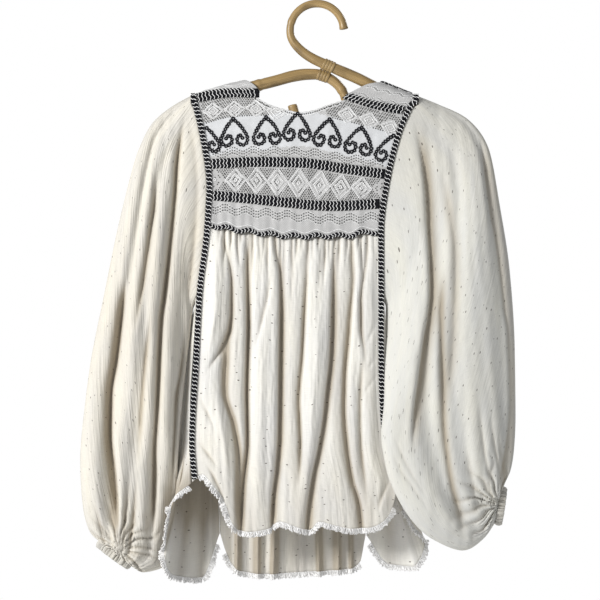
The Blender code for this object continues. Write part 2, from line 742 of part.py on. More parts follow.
def build_yoke_braids():
    inset = 0.045
    for stripes, surface, outward in ((FRONT_STRIPES, front_at, FRONT_OUT), (BACK_STRIPES, back_at, BACK_OUT)):
        for name, table in stripes.items():
            lines = across_lines(curve(table), STRIPE_BRAID, inset, 1 - inset, 12)
            ribbon(name, surface, lines, "braid", outward, ON_PANEL)
    for name, table, surface, outward in (
        ("braid_front_edge", FRONT_YOKE_HEM, front_at, FRONT_OUT),
        ("braid_back_edge", BACK_YOKE_HEM, back_at, BACK_OUT),
    ):
        lines = across_lines(scalloped(curve(table)), EDGE_BRAID, inset, 1 - inset, 40)
        ribbon(name, surface, [[row[0], row[2]] for row in lines], "braid", outward, ON_PANEL + 0.3)


def strap_braid(name, strap, seam, start=0.14):
    """A braid over the seam between a strap and the yoke."""
    seam_of = curve(strap[seam])

    def surface(across, along):
        return strap_at(strap, across, along)

    lines = []
    for i in range(7):
        across = mix(start, 0.99, i / 6)
        lines.append([(across, seam_of(across) + STRIPE_BRAID * offset) for offset in (0.5, 0.25, 0, -0.25, -0.5)])

    def outward(place):
        return (0, place[1], place[2] - strap["height"](place[0]))

    ribbon(name, surface, lines, "braid", outward, ON_PANEL + 0.3)


def build_strap_braids():
    strap_braid("braid_front_shoulder_left", LEFT_STRAP, "front")
    strap_braid("braid_front_shoulder_right", RIGHT_STRAP, "front")
    strap_braid("braid_back_shoulder_left", LEFT_STRAP, "back")
    strap_braid("braid_back_shoulder_right", RIGHT_STRAP, "back", 0.22)


def build_seam_braids():
    """The long braids over the armhole seams, front vent to shoulder to back vent."""
    for side, strap in (("left", LEFT_STRAP), ("right", RIGHT_STRAP)):
        left = side == "left"
        front_seam, back_seam = (front_left, back_left) if left else (front_right, back_right)
        vent = BACK_VENT_LEFT if left else BACK_VENT_RIGHT
        lift = ON_PANEL + 0.5
        grid = []
        for z in np.linspace(FRONT_VENT + 4, strap["height"](front_seam(-125)) - 3, 14):
            grid.append([(front_seam(z) + edge, -front_depth(z) - lift, z) for edge in (-HALF_SEAM, HALF_SEAM)])
        for degrees in range(10, 180, 20):
            turn = math.radians(degrees)
            row = []
            for edge in (-HALF_SEAM, HALF_SEAM):
                x = front_seam(-115) + edge
                middle = strap["height"](x)
                radius = front_depth(middle) + lift
                row.append((x, -radius * math.cos(turn), middle + radius * math.sin(turn)))
            grid.append(row)
        for z in np.linspace(strap["height"](back_seam(-125)) - 3, vent + 4, 14):
            grid.append([(back_seam(z) + edge, back_depth(z) + lift, z) for edge in (-HALF_SEAM, HALF_SEAM)])
        cloth(f"braid_seam_{side}", grid, "braid", BRAID_THICK)


def fringe(name, edge, inside, material="fringe"):
    """A strip of loops hanging off an edge. inside holds points a little way in from the edge."""
    along = np.gradient(edge, axis=0)
    along /= np.linalg.norm(along, axis=1)[:, None]
    out = edge - inside
    out -= (out * along).sum(1)[:, None] * along
    out /= np.linalg.norm(out, axis=1)[:, None]
    start = WALL / 2 + 2 * GAP
    grid = [[p + o * start, p + o * (start + FRINGE_REACH)] for p, o in zip(edge, out)]
    cloth(name, grid, material, FRINGE_THICK)


def build_fringes():
    for name, panel, first, last in (
        ("fringe_front", FRONT_PANEL, 0.035, 0.965),
        ("fringe_back", BACK_PANEL, 0.04, 0.96),
    ):
        columns = fold_columns(panel["pleats"], 0.07, HEM_CORNERS)
        columns = columns[(columns > first + 0.01) & (columns < last - 0.01)]
        columns = np.concatenate([[first], columns, [last]])
        fringe(name, panel_row(panel, columns, 1.0), panel_row(panel, columns, 0.985))
    for name, rings in (("fringe_side_left", LEFT_SIDE), ("fringe_side_right", RIGHT_SIDE)):
        shares = [0.07 + 0.86 * i / 20 for i in range(21)]
        edge = np.array([side_at(rings, s, 1.0) for s in shares])
        inside = np.array([side_at(rings, s, 0.97) for s in shares])
        fringe(name, edge, inside)


clear_scene()
make_materials()
build_hanger()
build_yoke()
build_straps()
build_panels()
build_side_panels()
build_sleeves()
build_yoke_braids()
build_strap_braids()
build_seam_braids()
build_fringes()
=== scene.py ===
# %% [markdown]
# A peasant blouse on its cane hanger, lit as in a studio. The real one is sewn from crinkled
# cotton gauze, a lace yoke over a pale lining, black and white braid, and looped cotton fringe, and it
# hangs on two bent canes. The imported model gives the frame: every piece below sits where its plain
# solid sits, and only the looks are made here.

# %% Load the frame
import json
import math

import bmesh
import bpy
import numpy as np
from mathutils import Matrix, Vector
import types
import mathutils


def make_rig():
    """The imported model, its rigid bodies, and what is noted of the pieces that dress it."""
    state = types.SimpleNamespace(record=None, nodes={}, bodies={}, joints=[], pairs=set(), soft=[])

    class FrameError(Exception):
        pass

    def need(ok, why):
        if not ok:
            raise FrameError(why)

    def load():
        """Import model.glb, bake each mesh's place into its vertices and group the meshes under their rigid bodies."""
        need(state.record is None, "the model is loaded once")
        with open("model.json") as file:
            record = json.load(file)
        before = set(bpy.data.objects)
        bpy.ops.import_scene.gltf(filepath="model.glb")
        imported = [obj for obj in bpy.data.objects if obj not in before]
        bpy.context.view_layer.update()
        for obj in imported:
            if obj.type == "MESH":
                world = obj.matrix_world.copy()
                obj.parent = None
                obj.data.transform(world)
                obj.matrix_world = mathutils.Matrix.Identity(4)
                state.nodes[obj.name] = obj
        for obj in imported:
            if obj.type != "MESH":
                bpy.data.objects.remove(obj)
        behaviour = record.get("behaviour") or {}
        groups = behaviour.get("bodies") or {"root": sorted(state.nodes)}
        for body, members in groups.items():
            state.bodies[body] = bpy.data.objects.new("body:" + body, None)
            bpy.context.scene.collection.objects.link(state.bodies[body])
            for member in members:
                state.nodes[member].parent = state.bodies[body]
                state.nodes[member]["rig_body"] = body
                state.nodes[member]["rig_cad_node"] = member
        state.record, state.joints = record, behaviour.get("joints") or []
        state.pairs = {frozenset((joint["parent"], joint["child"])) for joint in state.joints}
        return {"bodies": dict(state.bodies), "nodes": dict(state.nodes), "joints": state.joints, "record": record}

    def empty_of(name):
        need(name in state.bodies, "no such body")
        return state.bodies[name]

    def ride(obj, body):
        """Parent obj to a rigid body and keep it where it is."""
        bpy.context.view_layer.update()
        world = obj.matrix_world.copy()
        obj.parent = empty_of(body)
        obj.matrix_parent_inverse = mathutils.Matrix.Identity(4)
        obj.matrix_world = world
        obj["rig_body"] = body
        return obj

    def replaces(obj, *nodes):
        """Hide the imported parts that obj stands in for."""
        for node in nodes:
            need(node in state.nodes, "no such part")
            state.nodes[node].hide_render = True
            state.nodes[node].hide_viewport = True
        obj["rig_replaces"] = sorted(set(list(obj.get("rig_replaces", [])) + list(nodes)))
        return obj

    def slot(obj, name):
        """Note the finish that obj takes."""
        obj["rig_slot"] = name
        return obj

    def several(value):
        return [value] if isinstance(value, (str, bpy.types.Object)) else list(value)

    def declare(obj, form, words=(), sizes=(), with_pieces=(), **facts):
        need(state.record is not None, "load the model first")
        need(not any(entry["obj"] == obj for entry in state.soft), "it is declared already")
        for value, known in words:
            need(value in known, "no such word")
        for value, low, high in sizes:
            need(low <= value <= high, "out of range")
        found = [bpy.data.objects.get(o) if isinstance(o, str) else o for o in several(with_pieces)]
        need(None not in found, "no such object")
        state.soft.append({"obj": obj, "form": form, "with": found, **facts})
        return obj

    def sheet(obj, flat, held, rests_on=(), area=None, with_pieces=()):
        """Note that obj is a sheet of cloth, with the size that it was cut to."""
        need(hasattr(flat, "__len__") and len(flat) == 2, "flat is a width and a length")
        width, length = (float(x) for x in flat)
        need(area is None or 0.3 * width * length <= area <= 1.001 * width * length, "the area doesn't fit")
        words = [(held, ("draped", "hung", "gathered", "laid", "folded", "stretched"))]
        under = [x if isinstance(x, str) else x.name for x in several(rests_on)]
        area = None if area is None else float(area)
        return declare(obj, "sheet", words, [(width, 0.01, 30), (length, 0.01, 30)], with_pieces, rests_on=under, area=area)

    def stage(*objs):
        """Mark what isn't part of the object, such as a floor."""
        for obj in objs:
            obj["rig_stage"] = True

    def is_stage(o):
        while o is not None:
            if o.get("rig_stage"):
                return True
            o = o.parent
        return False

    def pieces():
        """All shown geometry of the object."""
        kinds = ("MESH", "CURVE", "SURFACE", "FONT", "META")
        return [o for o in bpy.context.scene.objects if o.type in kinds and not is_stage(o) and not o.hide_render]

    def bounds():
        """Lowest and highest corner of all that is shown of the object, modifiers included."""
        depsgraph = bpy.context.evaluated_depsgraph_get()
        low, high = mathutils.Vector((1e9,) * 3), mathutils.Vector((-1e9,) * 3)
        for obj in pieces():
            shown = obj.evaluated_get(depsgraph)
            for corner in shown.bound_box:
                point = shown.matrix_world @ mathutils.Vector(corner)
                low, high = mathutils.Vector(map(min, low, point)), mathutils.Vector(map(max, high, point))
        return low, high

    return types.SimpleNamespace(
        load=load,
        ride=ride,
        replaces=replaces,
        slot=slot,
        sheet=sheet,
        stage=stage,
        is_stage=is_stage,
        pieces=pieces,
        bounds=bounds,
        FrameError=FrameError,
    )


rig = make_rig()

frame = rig.load()
cad_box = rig.bounds()
MM = 0.001
print("frame nodes:", len(frame["nodes"]))

# %% [markdown]
# A hanging garment is seen from far away through a long lens, so that its sides stay straight.
# The camera looks square at the front from three metres. A plain pale floor lies well below the hem,
# and a bright world gives a clean white ground.

# %% Camera, floor and light
VIEW_WIDTH = 0.780
VIEW_CENTRE = Vector((-0.0221, -0.015, -0.3826))
CAMERA_AWAY = 3.0
FLOOR_HEIGHT = -1.30
FLOOR_RADIUS = 3.2
SENSOR = 36.0


def aim(obj, place, target):
    obj.location = place
    obj.rotation_euler = (Vector(target) - Vector(place)).to_track_quat("-Z", "Y").to_euler()


def area_light(name, place, target, size, power, colour):
    lamp = bpy.data.lights.new(name, "AREA")
    lamp.shape = "DISK"
    lamp.size = size
    lamp.energy = power
    lamp.color = colour
    obj = bpy.data.objects.new(name, lamp)
    bpy.context.scene.collection.objects.link(obj)
    aim(obj, place, target)
    return obj


lens = bpy.data.cameras.new("camera")
lens.sensor_width = SENSOR
lens.lens = SENSOR * CAMERA_AWAY / VIEW_WIDTH
camera = bpy.data.objects.new("camera", lens)
bpy.context.scene.collection.objects.link(camera)
aim(camera, VIEW_CENTRE + Vector((0, -CAMERA_AWAY, 0)), VIEW_CENTRE)
bpy.context.scene.camera = camera

area_light("key", (-2.15, -1.85, 0.50), (0, 0, -0.38), 0.8, 88.0, (1.0, 0.995, 0.985))
area_light("fill", (2.0, -2.2, 0.1), (0, 0, -0.4), 1.6, 5.0, (0.97, 0.98, 1.0))
area_light("behind", (1.6, 2.4, 1.2), (0, 0, -0.4), 1.4, 34.0, (1.0, 0.99, 0.97))
bpy.context.scene.view_settings.view_transform = "Standard"
print("lens", round(lens.lens, 1), "mm")

# %% [markdown]
# The world is one colour. Rays that light the cloth get a little less of it than the camera sees, which
# keeps the shadows in the folds while the ground behind stays white. Mirrored rays get still less, so that
# varnished cane keeps a dark rim.

# %% World
world = bpy.data.worlds.new("studio")
world.use_nodes = True
bpy.context.scene.world = world
sky = world.node_tree
sky.nodes.clear()
seen = sky.nodes.new("ShaderNodeBackground")
seen.inputs["Color"].default_value = (1.0, 1.0, 1.0, 1.0)
lighting = sky.nodes.new("ShaderNodeBackground")
lighting.inputs["Color"].default_value = (0.97, 0.985, 1.0, 1.0)
lighting.inputs["Strength"].default_value = 0.33
mirrored = sky.nodes.new("ShaderNodeBackground")
mirrored.inputs["Color"].default_value = (1.0, 1.0, 1.0, 1.0)
mirrored.inputs["Strength"].default_value = 0.12
sort = sky.nodes.new("ShaderNodeMixShader")
choose = sky.nodes.new("ShaderNodeMixShader")
ray = sky.nodes.new("ShaderNodeLightPath")
out = sky.nodes.new("ShaderNodeOutputWorld")
sky.links.new(ray.outputs["Is Camera Ray"], choose.inputs["Fac"])
sky.links.new(ray.outputs["Is Glossy Ray"], sort.inputs["Fac"])
sky.links.new(lighting.outputs["Background"], sort.inputs[1])
sky.links.new(mirrored.outputs["Background"], sort.inputs[2])
sky.links.new(sort.outputs["Shader"], choose.inputs[1])
sky.links.new(seen.outputs["Background"], choose.inputs[2])
sky.links.new(choose.outputs["Shader"], out.inputs["Surface"])

# %% [markdown]
# Every finish below is a small tree of shader nodes. Two helpers keep the trees short: one makes a
# Principled material, and one adds a node and fills its sockets with values or links.

# %% Material helpers
def node(tree, kind, settings=None, inputs=None):
    made = tree.nodes.new(kind)
    for key, value in (settings or {}).items():
        setattr(made, key, value)
    for key, value in (inputs or {}).items():
        if isinstance(value, bpy.types.NodeSocket):
            tree.links.new(value, made.inputs[key])
        else:
            made.inputs[key].default_value = value
    return made


def new_material(name, roughness, sheen=0.0, coat=0.0, specular=0.5):
    material = bpy.data.materials.new(name)
    material.use_nodes = True
    shader = material.node_tree.nodes["Principled BSDF"]
    shader.inputs["Roughness"].default_value = roughness
    shader.inputs["Sheen Weight"].default_value = sheen
    shader.inputs["Sheen Roughness"].default_value = 0.4
    shader.inputs["Coat Weight"].default_value = coat
    shader.inputs["Coat Roughness"].default_value = 0.25
    shader.inputs["Specular IOR Level"].default_value = specular
    return material, material.node_tree, shader


def stretched(tree, vector, scale, turn=0.0):
    """Coordinates turned and then scaled, so that a pattern can be long one way."""
    turned = node(tree, "ShaderNodeMapping", {"vector_type": "POINT"},
                  {"Vector": vector, "Rotation": (0, 0, turn)}).outputs["Vector"]
    return node(tree, "ShaderNodeMapping", {"vector_type": "POINT"},
                {"Vector": turned, "Scale": scale}).outputs["Vector"]


def noise(tree, vector, scale=1.0, detail=2.0):
    return node(tree, "ShaderNodeTexNoise", None,
                {"Vector": vector, "Scale": scale, "Detail": detail}).outputs["Fac"]


def maths(tree, operation, a, b=0.0):
    made = node(tree, "ShaderNodeMath", {"operation": operation})
    for socket, value in zip(made.inputs, (a, b)):
        if isinstance(value, bpy.types.NodeSocket):
            tree.links.new(value, socket)
        else:
            socket.default_value = value
    return made.outputs["Value"]


def remap(tree, value, low, high, to_low, to_high):
    return node(tree, "ShaderNodeMapRange", None, {
        "Value": value, "From Min": low, "From Max": high, "To Min": to_low, "To Max": to_high,
    }).outputs["Result"]


def blend_colours(tree, share, a, b, kind="MIX"):
    made = node(tree, "ShaderNodeMix", {"data_type": "RGBA", "blend_type": kind})
    for index, value in ((0, share), (6, a), (7, b)):
        if isinstance(value, bpy.types.NodeSocket):
            tree.links.new(value, made.inputs[index])
        else:
            made.inputs[index].default_value = value if index == 0 else (*value, 1.0)
    return made.outputs[2]


def bump(tree, shader, layers):
    """Stacks bumps: rows of (height socket, strength, distance in metres)."""
    normal = None
    for height, strength, distance in layers:
        values = {"Height": height, "Strength": strength, "Distance": distance}
        if normal is not None:
            values["Normal"] = normal
        normal = node(tree, "ShaderNodeBump", None, values).outputs["Normal"]
    tree.links.new(normal, shader.inputs["Normal"])


def cut_map(tree):
    """The cloth's own UV map, in metres of flat cloth."""
    return node(tree, "ShaderNodeUVMap", {"uv_map": "cut"}).outputs["UV"]


# %% [markdown]
# The gauze is unbleached cotton: thin, uneven threads, now and then a thick slub, and dark flecks of
# seed left in the yarn. Its map is the flat cloth, in metres, so that threads and flecks keep their size and
# follow every fold. Flecks come from a Voronoi texture whose cells are stretched along the yarn.

# %% Gauze
def gauze_material(name, tint, fleck_turn, fleck_share, crinkle, crepe_turn=0.0, fleck_cells=(30, 88, 1)):
    material, tree, shader = new_material(name, 0.88, sheen=0.12, specular=0.2)
    uv = cut_map(tree)
    warp = noise(tree, stretched(tree, uv, (1500, 60, 1)), detail=3)
    weft = noise(tree, stretched(tree, uv, (60, 1500, 1)), detail=3)
    threads = maths(tree, "ADD", warp, weft)
    clouds = noise(tree, stretched(tree, uv, (26, 9, 1)), detail=3)
    slubs = noise(tree, stretched(tree, uv, (35, 900, 1)), detail=1)
    shade = remap(tree, threads, 0.7, 1.3, 0.91, 1.06)
    shade = maths(tree, "MULTIPLY", shade, remap(tree, clouds, 0.3, 0.7, 0.92, 1.03))
    shade = maths(tree, "MULTIPLY", shade, remap(tree, slubs, 0.68, 0.80, 1.0, 0.88))
    warm = blend_colours(tree, remap(tree, clouds, 0.35, 0.7, 0.0, 1.0),
                         tint, (tint[0] * 0.985, tint[1] * 0.97, tint[2] * 0.92))
    # Painted shade: a per-point attribute blends the cloth towards dark brown where creases, recesses and cloth turned
    # from the light would lie in shade.
    hollow = node(tree, "ShaderNodeAttribute", {"attribute_name": "hollow"}).outputs["Fac"]
    warm = blend_colours(tree, maths(tree, "MULTIPLY", hollow, 0.82), warm, (0.36, 0.305, 0.225))
    grey = node(tree, "ShaderNodeCombineColor", None, {"Red": shade, "Green": shade, "Blue": shade})
    cloth = blend_colours(tree, 1.0, warm, grey.outputs["Color"], "MULTIPLY")
    cells = node(tree, "ShaderNodeTexVoronoi", {"feature": "F1", "voronoi_dimensions": "2D"},
                 {"Vector": stretched(tree, uv, fleck_cells, fleck_turn), "Scale": 1.0})
    chance = node(tree, "ShaderNodeSeparateColor", None, {"Color": cells.outputs["Color"]})
    shown = remap(tree, chance.outputs["Red"], 1.0 - fleck_share, 1.01 - fleck_share, 0.0, 1.0)
    size = maths(tree, "MULTIPLY", shown, remap(tree, chance.outputs["Green"], 0.0, 1.0, 0.030, 0.078))
    fleck = remap(tree, maths(tree, "SUBTRACT", size, cells.outputs["Distance"]), 0.0, 0.012, 0.0, 0.9)
    cloth = blend_colours(tree, fleck, cloth, (0.070, 0.058, 0.048))
    tree.links.new(cloth, shader.inputs["Base Color"])
    creped = noise(tree, stretched(tree, uv, (330, 30, 1), crepe_turn), detail=3)
    soft = noise(tree, stretched(tree, uv, (170, 11, 1), crepe_turn), detail=2)
    bump(tree, shader, [(soft, crinkle, 0.0016), (creped, crinkle * 0.8, 0.0005), (threads, 0.25, 0.00025)])
    return material


GAUZE_TINT = (0.760, 0.750, 0.724)
gauze = gauze_material("gauze_body", GAUZE_TINT, 0.0, 0.50, 0.55)
# Painted shade and light: the sleeves and cuffs are the body's gauze in darker tints, painted shade, and the right
# side panel is the same gauze in a lighter tint, painted light.
gauze_left = gauze_material("gauze_left_sleeve", (0.690, 0.664, 0.612), -0.5, 0.50, 0.9, 0.42, (38, 72, 1))
gauze_right = gauze_material("gauze_right_sleeve", (0.668, 0.666, 0.638), -0.9, 0.72, 0.28, 0.7, (40, 64, 1))
gauze_side = gauze_material("gauze_right_side", (0.830, 0.818, 0.788), 0.0, 0.50, 0.55)
gauze_cuff = gauze_material("gauze_cuff", (0.56, 0.545, 0.51), 0.0, 0.2, 0.9)
print("gauze ready")

# %% [markdown]
# The yoke is machine lace laid on a pale lining. The lining shows as a cool white, and the lace makes it
# look slightly grey where its net is dense. Raised cords are real geometry, and the eyelets are small dark
# plugs, painted shade for their holes; this finish only adds the fine net between them. The row of scrolls
# stands on smoother cloth with a faint satin shine.

# %% Lace, thread and braid finishes
def lace_material(name, tint, net, roughness):
    material, tree, shader = new_material(name, roughness, sheen=0.1, specular=0.35)
    uv = cut_map(tree)
    ways = []
    for turn in (math.radians(45), math.radians(-45)):
        wave = node(tree, "ShaderNodeTexWave", {"wave_type": "BANDS", "bands_direction": "X"},
                    {"Vector": stretched(tree, uv, (1, 1, 1), turn), "Scale": 190.0, "Distortion": 0.4})
        ways.append(wave.outputs["Fac"])
    mesh_net = maths(tree, "MULTIPLY", ways[0], ways[1])
    clouds = noise(tree, uv, 60.0, 3.0)
    shade = maths(tree, "MULTIPLY", remap(tree, mesh_net, 0.0, 1.0, 1.0 - net, 1.0),
                  remap(tree, clouds, 0.3, 0.7, 0.92, 1.04))
    grey = node(tree, "ShaderNodeCombineColor", None, {"Red": shade, "Green": shade, "Blue": shade})
    tree.links.new(blend_colours(tree, 1.0, tint, grey.outputs["Color"], "MULTIPLY"),
                   shader.inputs["Base Color"])
    bump(tree, shader, [(clouds, 0.4, 0.0008), (mesh_net, 0.3 + net, 0.0003)])
    return material


def thread_material(name, tint, dark, roughness, sheen=0.1, specular=0.3, twist=2600.0):
    """Cotton thread: the twist shows as fine slanting bands, and the shade wanders along it."""
    material, tree, shader = new_material(name, roughness, sheen=sheen, specular=specular)
    place = node(tree, "ShaderNodeTexCoord").outputs["Object"]
    ply = node(tree, "ShaderNodeTexWave", {"wave_type": "BANDS", "bands_direction": "DIAGONAL"},
               {"Vector": place, "Scale": twist / 20, "Distortion": 2.0}).outputs["Fac"]
    wander = noise(tree, place, 220.0, 2.0)
    share = remap(tree, maths(tree, "MULTIPLY", ply, wander), 0.02, 0.36, 0.15, 1.0)
    tree.links.new(blend_colours(tree, share, dark, tint), shader.inputs["Base Color"])
    bump(tree, shader, [(ply, 0.4, 0.0002)])
    return material


lace_ground = lace_material("lace_net", (0.74, 0.735, 0.73), 0.40, 0.85)
satin_ground = lace_material("satin_ground", (0.665, 0.675, 0.69), 0.05, 0.55)
white_thread = thread_material("white_thread", (0.90, 0.90, 0.90), (0.72, 0.72, 0.72), 0.8)
zigzag_thread = thread_material("zigzag_thread", (0.94, 0.94, 0.93), (0.80, 0.80, 0.80), 0.7)
fringe_yarn = thread_material("fringe_yarn", (0.95, 0.945, 0.94), (0.78, 0.77, 0.76), 0.9)
black_thread = thread_material("black_thread", (0.012, 0.012, 0.016), (0.004, 0.004, 0.006), 0.7, 0.0, 0.2)
black_braid = thread_material("black_braid", (0.009, 0.009, 0.012), (0.003, 0.003, 0.004), 0.8, 0.0, 0.12)
# Painted shade: the near-black of the plugs that stand in for the shadowed eyelet holes.
eyelet_shade = thread_material("eyelet_shade", (0.13, 0.13, 0.125), (0.07, 0.07, 0.068), 0.9, 0.0, 0.1)
print("lace and thread ready")

# %% [markdown]
# Cane is honey brown under a clear skin, with long fibres, olive and brown stains, and small dark
# marks. The tube's map runs round in u and along in v, both in metres, so fibres stretch along the cane.

# %% Cane
def cane_material(name, light, mid, dark, fibre):
    material, tree, shader = new_material(name, 0.40, coat=0.18, specular=0.4)
    uv = cut_map(tree)
    fibres = noise(tree, stretched(tree, uv, (fibre, 14, 1)), detail=4)
    stains = noise(tree, stretched(tree, uv, (60, 22, 1)), detail=3)
    patches = noise(tree, stretched(tree, uv, (22, 7, 1)), detail=2)
    colour = blend_colours(tree, remap(tree, patches, 0.34, 0.66, 0.0, 1.0), light, mid)
    colour = blend_colours(tree, remap(tree, stains, 0.50, 0.72, 0.0, 0.85), colour, dark)
    shade = remap(tree, fibres, 0.3, 0.7, 0.66, 1.20)
    grey = node(tree, "ShaderNodeCombineColor", None, {"Red": shade, "Green": shade, "Blue": shade})
    colour = blend_colours(tree, 1.0, colour, grey.outputs["Color"], "MULTIPLY")
    spots = node(tree, "ShaderNodeTexVoronoi", {"feature": "F1", "voronoi_dimensions": "2D"},
                 {"Vector": stretched(tree, uv, (60, 24, 1)), "Scale": 1.0})
    chance = node(tree, "ShaderNodeSeparateColor", None, {"Color": spots.outputs["Color"]})
    size = remap(tree, chance.outputs["Green"], 0.72, 1.0, 0.0, 0.10)
    spot = remap(tree, maths(tree, "SUBTRACT", size, spots.outputs["Distance"]), 0.0, 0.03, 0.0, 0.85)
    colour = blend_colours(tree, spot, colour, (0.085, 0.05, 0.022))
    tree.links.new(colour, shader.inputs["Base Color"])
    tree.links.new(remap(tree, stains, 0.3, 0.7, 0.34, 0.52), shader.inputs["Roughness"])
    bump(tree, shader, [(fibres, 0.25, 0.0004), (patches, 0.3, 0.0012)])
    return material


cane_skin = cane_material("cane_skin", (0.45, 0.305, 0.130), (0.29, 0.195, 0.080), (0.13, 0.085, 0.036), 700)
split_cane = cane_material("split_cane", (0.50, 0.35, 0.17), (0.36, 0.25, 0.11), (0.20, 0.13, 0.055), 1500)
print("cane ready")

# %% [markdown]
# The garment's form comes from a few tables in millimetres, the same that shaped its plain solids:
# where the armhole seams run, how far the cloth stands off, and where hems lie. One function turns a table
# into a smooth curve that never overshoots, which is safer for cloth than a spline.

# %% Curves
def curve(rows, column=1):
    """A smooth function through table rows, keyed by the first column, that doesn't overshoot."""
    rows = sorted(rows)
    keys = np.array([row[0] for row in rows], float)
    return smooth_between(keys, np.array([row[column] for row in rows], float))


def smooth_between(keys, values):
    """The same through arrays: values may have any shape after their first axis."""
    shape = (-1,) + (1,) * (values.ndim - 1)
    slopes = np.diff(values, axis=0) / np.diff(keys).reshape(shape)
    tangents = np.zeros_like(values)
    tangents[0], tangents[-1] = slopes[0], slopes[-1]
    product = slopes[:-1] * slopes[1:]
    total = slopes[:-1] + slopes[1:]
    tangents[1:-1] = np.where(product > 0, 2 * product / np.where(product > 0, total, 1.0), 0.0)

    def at(key):
        key = np.clip(key, keys[0], keys[-1])
        i = np.clip(np.searchsorted(keys, key, side="right") - 1, 0, len(keys) - 2)
        span = keys[i + 1] - keys[i]
        t = (key - keys[i]) / span
        rise = values[i + 1] - values[i]
        a = tangents[i] * span - rise
        b = -tangents[i + 1] * span + rise
        return values[i] + t * rise + t * (1 - t) * ((1 - t) * a + t * b)

    return at


def ease(value, low, high):
    """0 below low, 1 above high, smooth between."""
    t = np.clip((value - low) / (high - low), 0.0, 1.0)
    return t * t * (3 - 2 * t)


def mix(a, b, share):
    return a + (b - a) * share


# %% [markdown]
# The body's tables. Seams are given by height, left x and right x; depths by height, front and back.

# %% Body tables
SEAM_BRAID, STRIPE_BRAID, EDGE_BRAID = 7.0, 12.6, 5.6
HALF_SEAM = SEAM_BRAID / 2
UNDERARM, FRONT_VENT, BACK_VENT_LEFT, BACK_VENT_RIGHT = -383.0, -618.0, -688.0, -691.0
FRONT_SEAMS = [
    (-95, -163, 137), (-115, -161, 129), (-163, -150, 107), (-233, -140, 90), (-292, -143, 83),
    (-370, -152, 83), (-467, -157, 83), (-568, -162, 88), (-618, -158, 100), (-700, -150, 108),
]
BACK_SEAMS = [
    (-95, -163, 137), (-115, -161, 129), (-163, -148, 104), (-233, -137, 86), (-300, -135, 79),
    (-400, -134, 77), (-560, -130, 70), (-690, -124, 61), (-760, -121, 58),
]
DEPTHS = [(-95, 10.0, 10.0), (-300, 16.5, 16.0), (-430, 24.0, 22.0), (-560, 29.0, 26.0), (-760, 33.0, 30.0)]
LEFT_RIDGE = [
    (-200, -150), (-184, -142.5), (-161, -125.5), (-110, -109.5), (-74, -101), (-44, -93.5), (-14, -89),
]
RIGHT_RIDGE = [(8, -73.5), (30, -81.5), (53, -93), (76, -104.5), (130, -127), (184, -151), (202, -161)]
FRONT_NECK = [
    (0.27, -115), (0.31, -122.5), (0.36, -129.5), (0.43, -135), (0.48, -138), (0.54, -136),
    (0.62, -127.5), (0.68, -122.0),
]
BACK_NECK = [(0.27, -135), (0.33, -145), (0.42, -152), (0.52, -153), (0.6, -147), (0.68, -134)]
FRONT_STRIPES = {
    "braid_front_upper": [(0, -206), (0.3, -203), (0.5, -204), (0.75, -212), (1, -220)],
    "braid_front_lower": [(0, -246), (0.2, -250), (0.45, -256), (0.7, -260.5), (1, -257)],
}
BACK_STRIPES = {
    "braid_back_upper": [(0, -217), (0.5, -212), (1, -204)],
    "braid_back_lower": [(0, -263), (0.5, -258), (1, -250)],
}
FRONT_YOKE_HEM = [(0, -284), (0.12, -289), (0.3, -295), (0.5, -299.5), (0.8, -299), (0.92, -294), (1, -298)]
BACK_YOKE_HEM = [(0, -303), (0.3, -302), (0.6, -297), (1, -290)]
FRONT_HEM = [
    (0.0, -618), (0.055, -608), (0.11, -626), (0.145, -642), (0.17, -667), (0.2, -680), (0.25, -682),
    (0.35, -678), (0.41, -669), (0.48, -675), (0.55, -680), (0.6, -669), (0.68, -674), (0.76, -678),
    (0.85, -676), (0.92, -667), (0.965, -650), (1.0, -620),
]
BACK_HEM = [
    (0.0, -690), (0.03, -712), (0.07, -730), (0.13, -740), (0.3, -744), (0.45, -743), (0.7, -740),
    (0.9, -737), (0.97, -728), (1.0, -693),
]
EDGE_SCALLOPS, EDGE_SCALLOP_DEEP = 8, 2.0
SEAMS = {
    "front": (curve(FRONT_SEAMS, 1), curve(FRONT_SEAMS, 2)),
    "back": (curve(BACK_SEAMS, 1), curve(BACK_SEAMS, 2)),
}
DEPTH = {"front": curve(DEPTHS, 1), "back": curve(DEPTHS, 2)}
FACING = {"front": -1.0, "back": 1.0}
ridge_left, ridge_right = curve(LEFT_RIDGE), curve(RIGHT_RIDGE)


def across_at(face, share, z):
    """x at a share of the way from the left armhole seam to the right one."""
    left, right = SEAMS[face]
    return mix(left(z) - HALF_SEAM, right(z) + HALF_SEAM, share)


def share_of(face, x, z):
    left, right = SEAMS[face]
    return (x - left(z) + HALF_SEAM) / (right(z) - left(z) + SEAM_BRAID)


half_way = float(across_at("front", 1, -460) - across_at("front", 0, -460))
print("half way down the front is", round(half_way), "mm wide")

# %% [markdown]
# Cloth is never smooth. A crumple made from a few dozen slanting sine waves gives small dents everywhere,
# the same on every run. A crease is a path down the cloth with a depth and a width on each side: a steep
# side and a soft side make the edge of a fold. Valleys are sharp and ridges round, as in hung gathers.

# %% Crumples and creases
def crumple(x, z, seed, size, lean=0.25):
    """Small dents, about size mm apart, mostly longer than they are wide. Returns about -1 to 1."""
    random = np.random.default_rng(seed)
    total = np.zeros(np.broadcast(x, z).shape)
    for _ in range(14):
        wave = size * random.uniform(0.7, 2.2)
        turn = random.normal(0, lean)
        phase = random.uniform(0, 2 * math.pi)
        total += np.sin(2 * math.pi * (x * math.cos(turn) + z * math.sin(turn)) / wave + phase)
    return total / 5.0


PRESS = 1.45


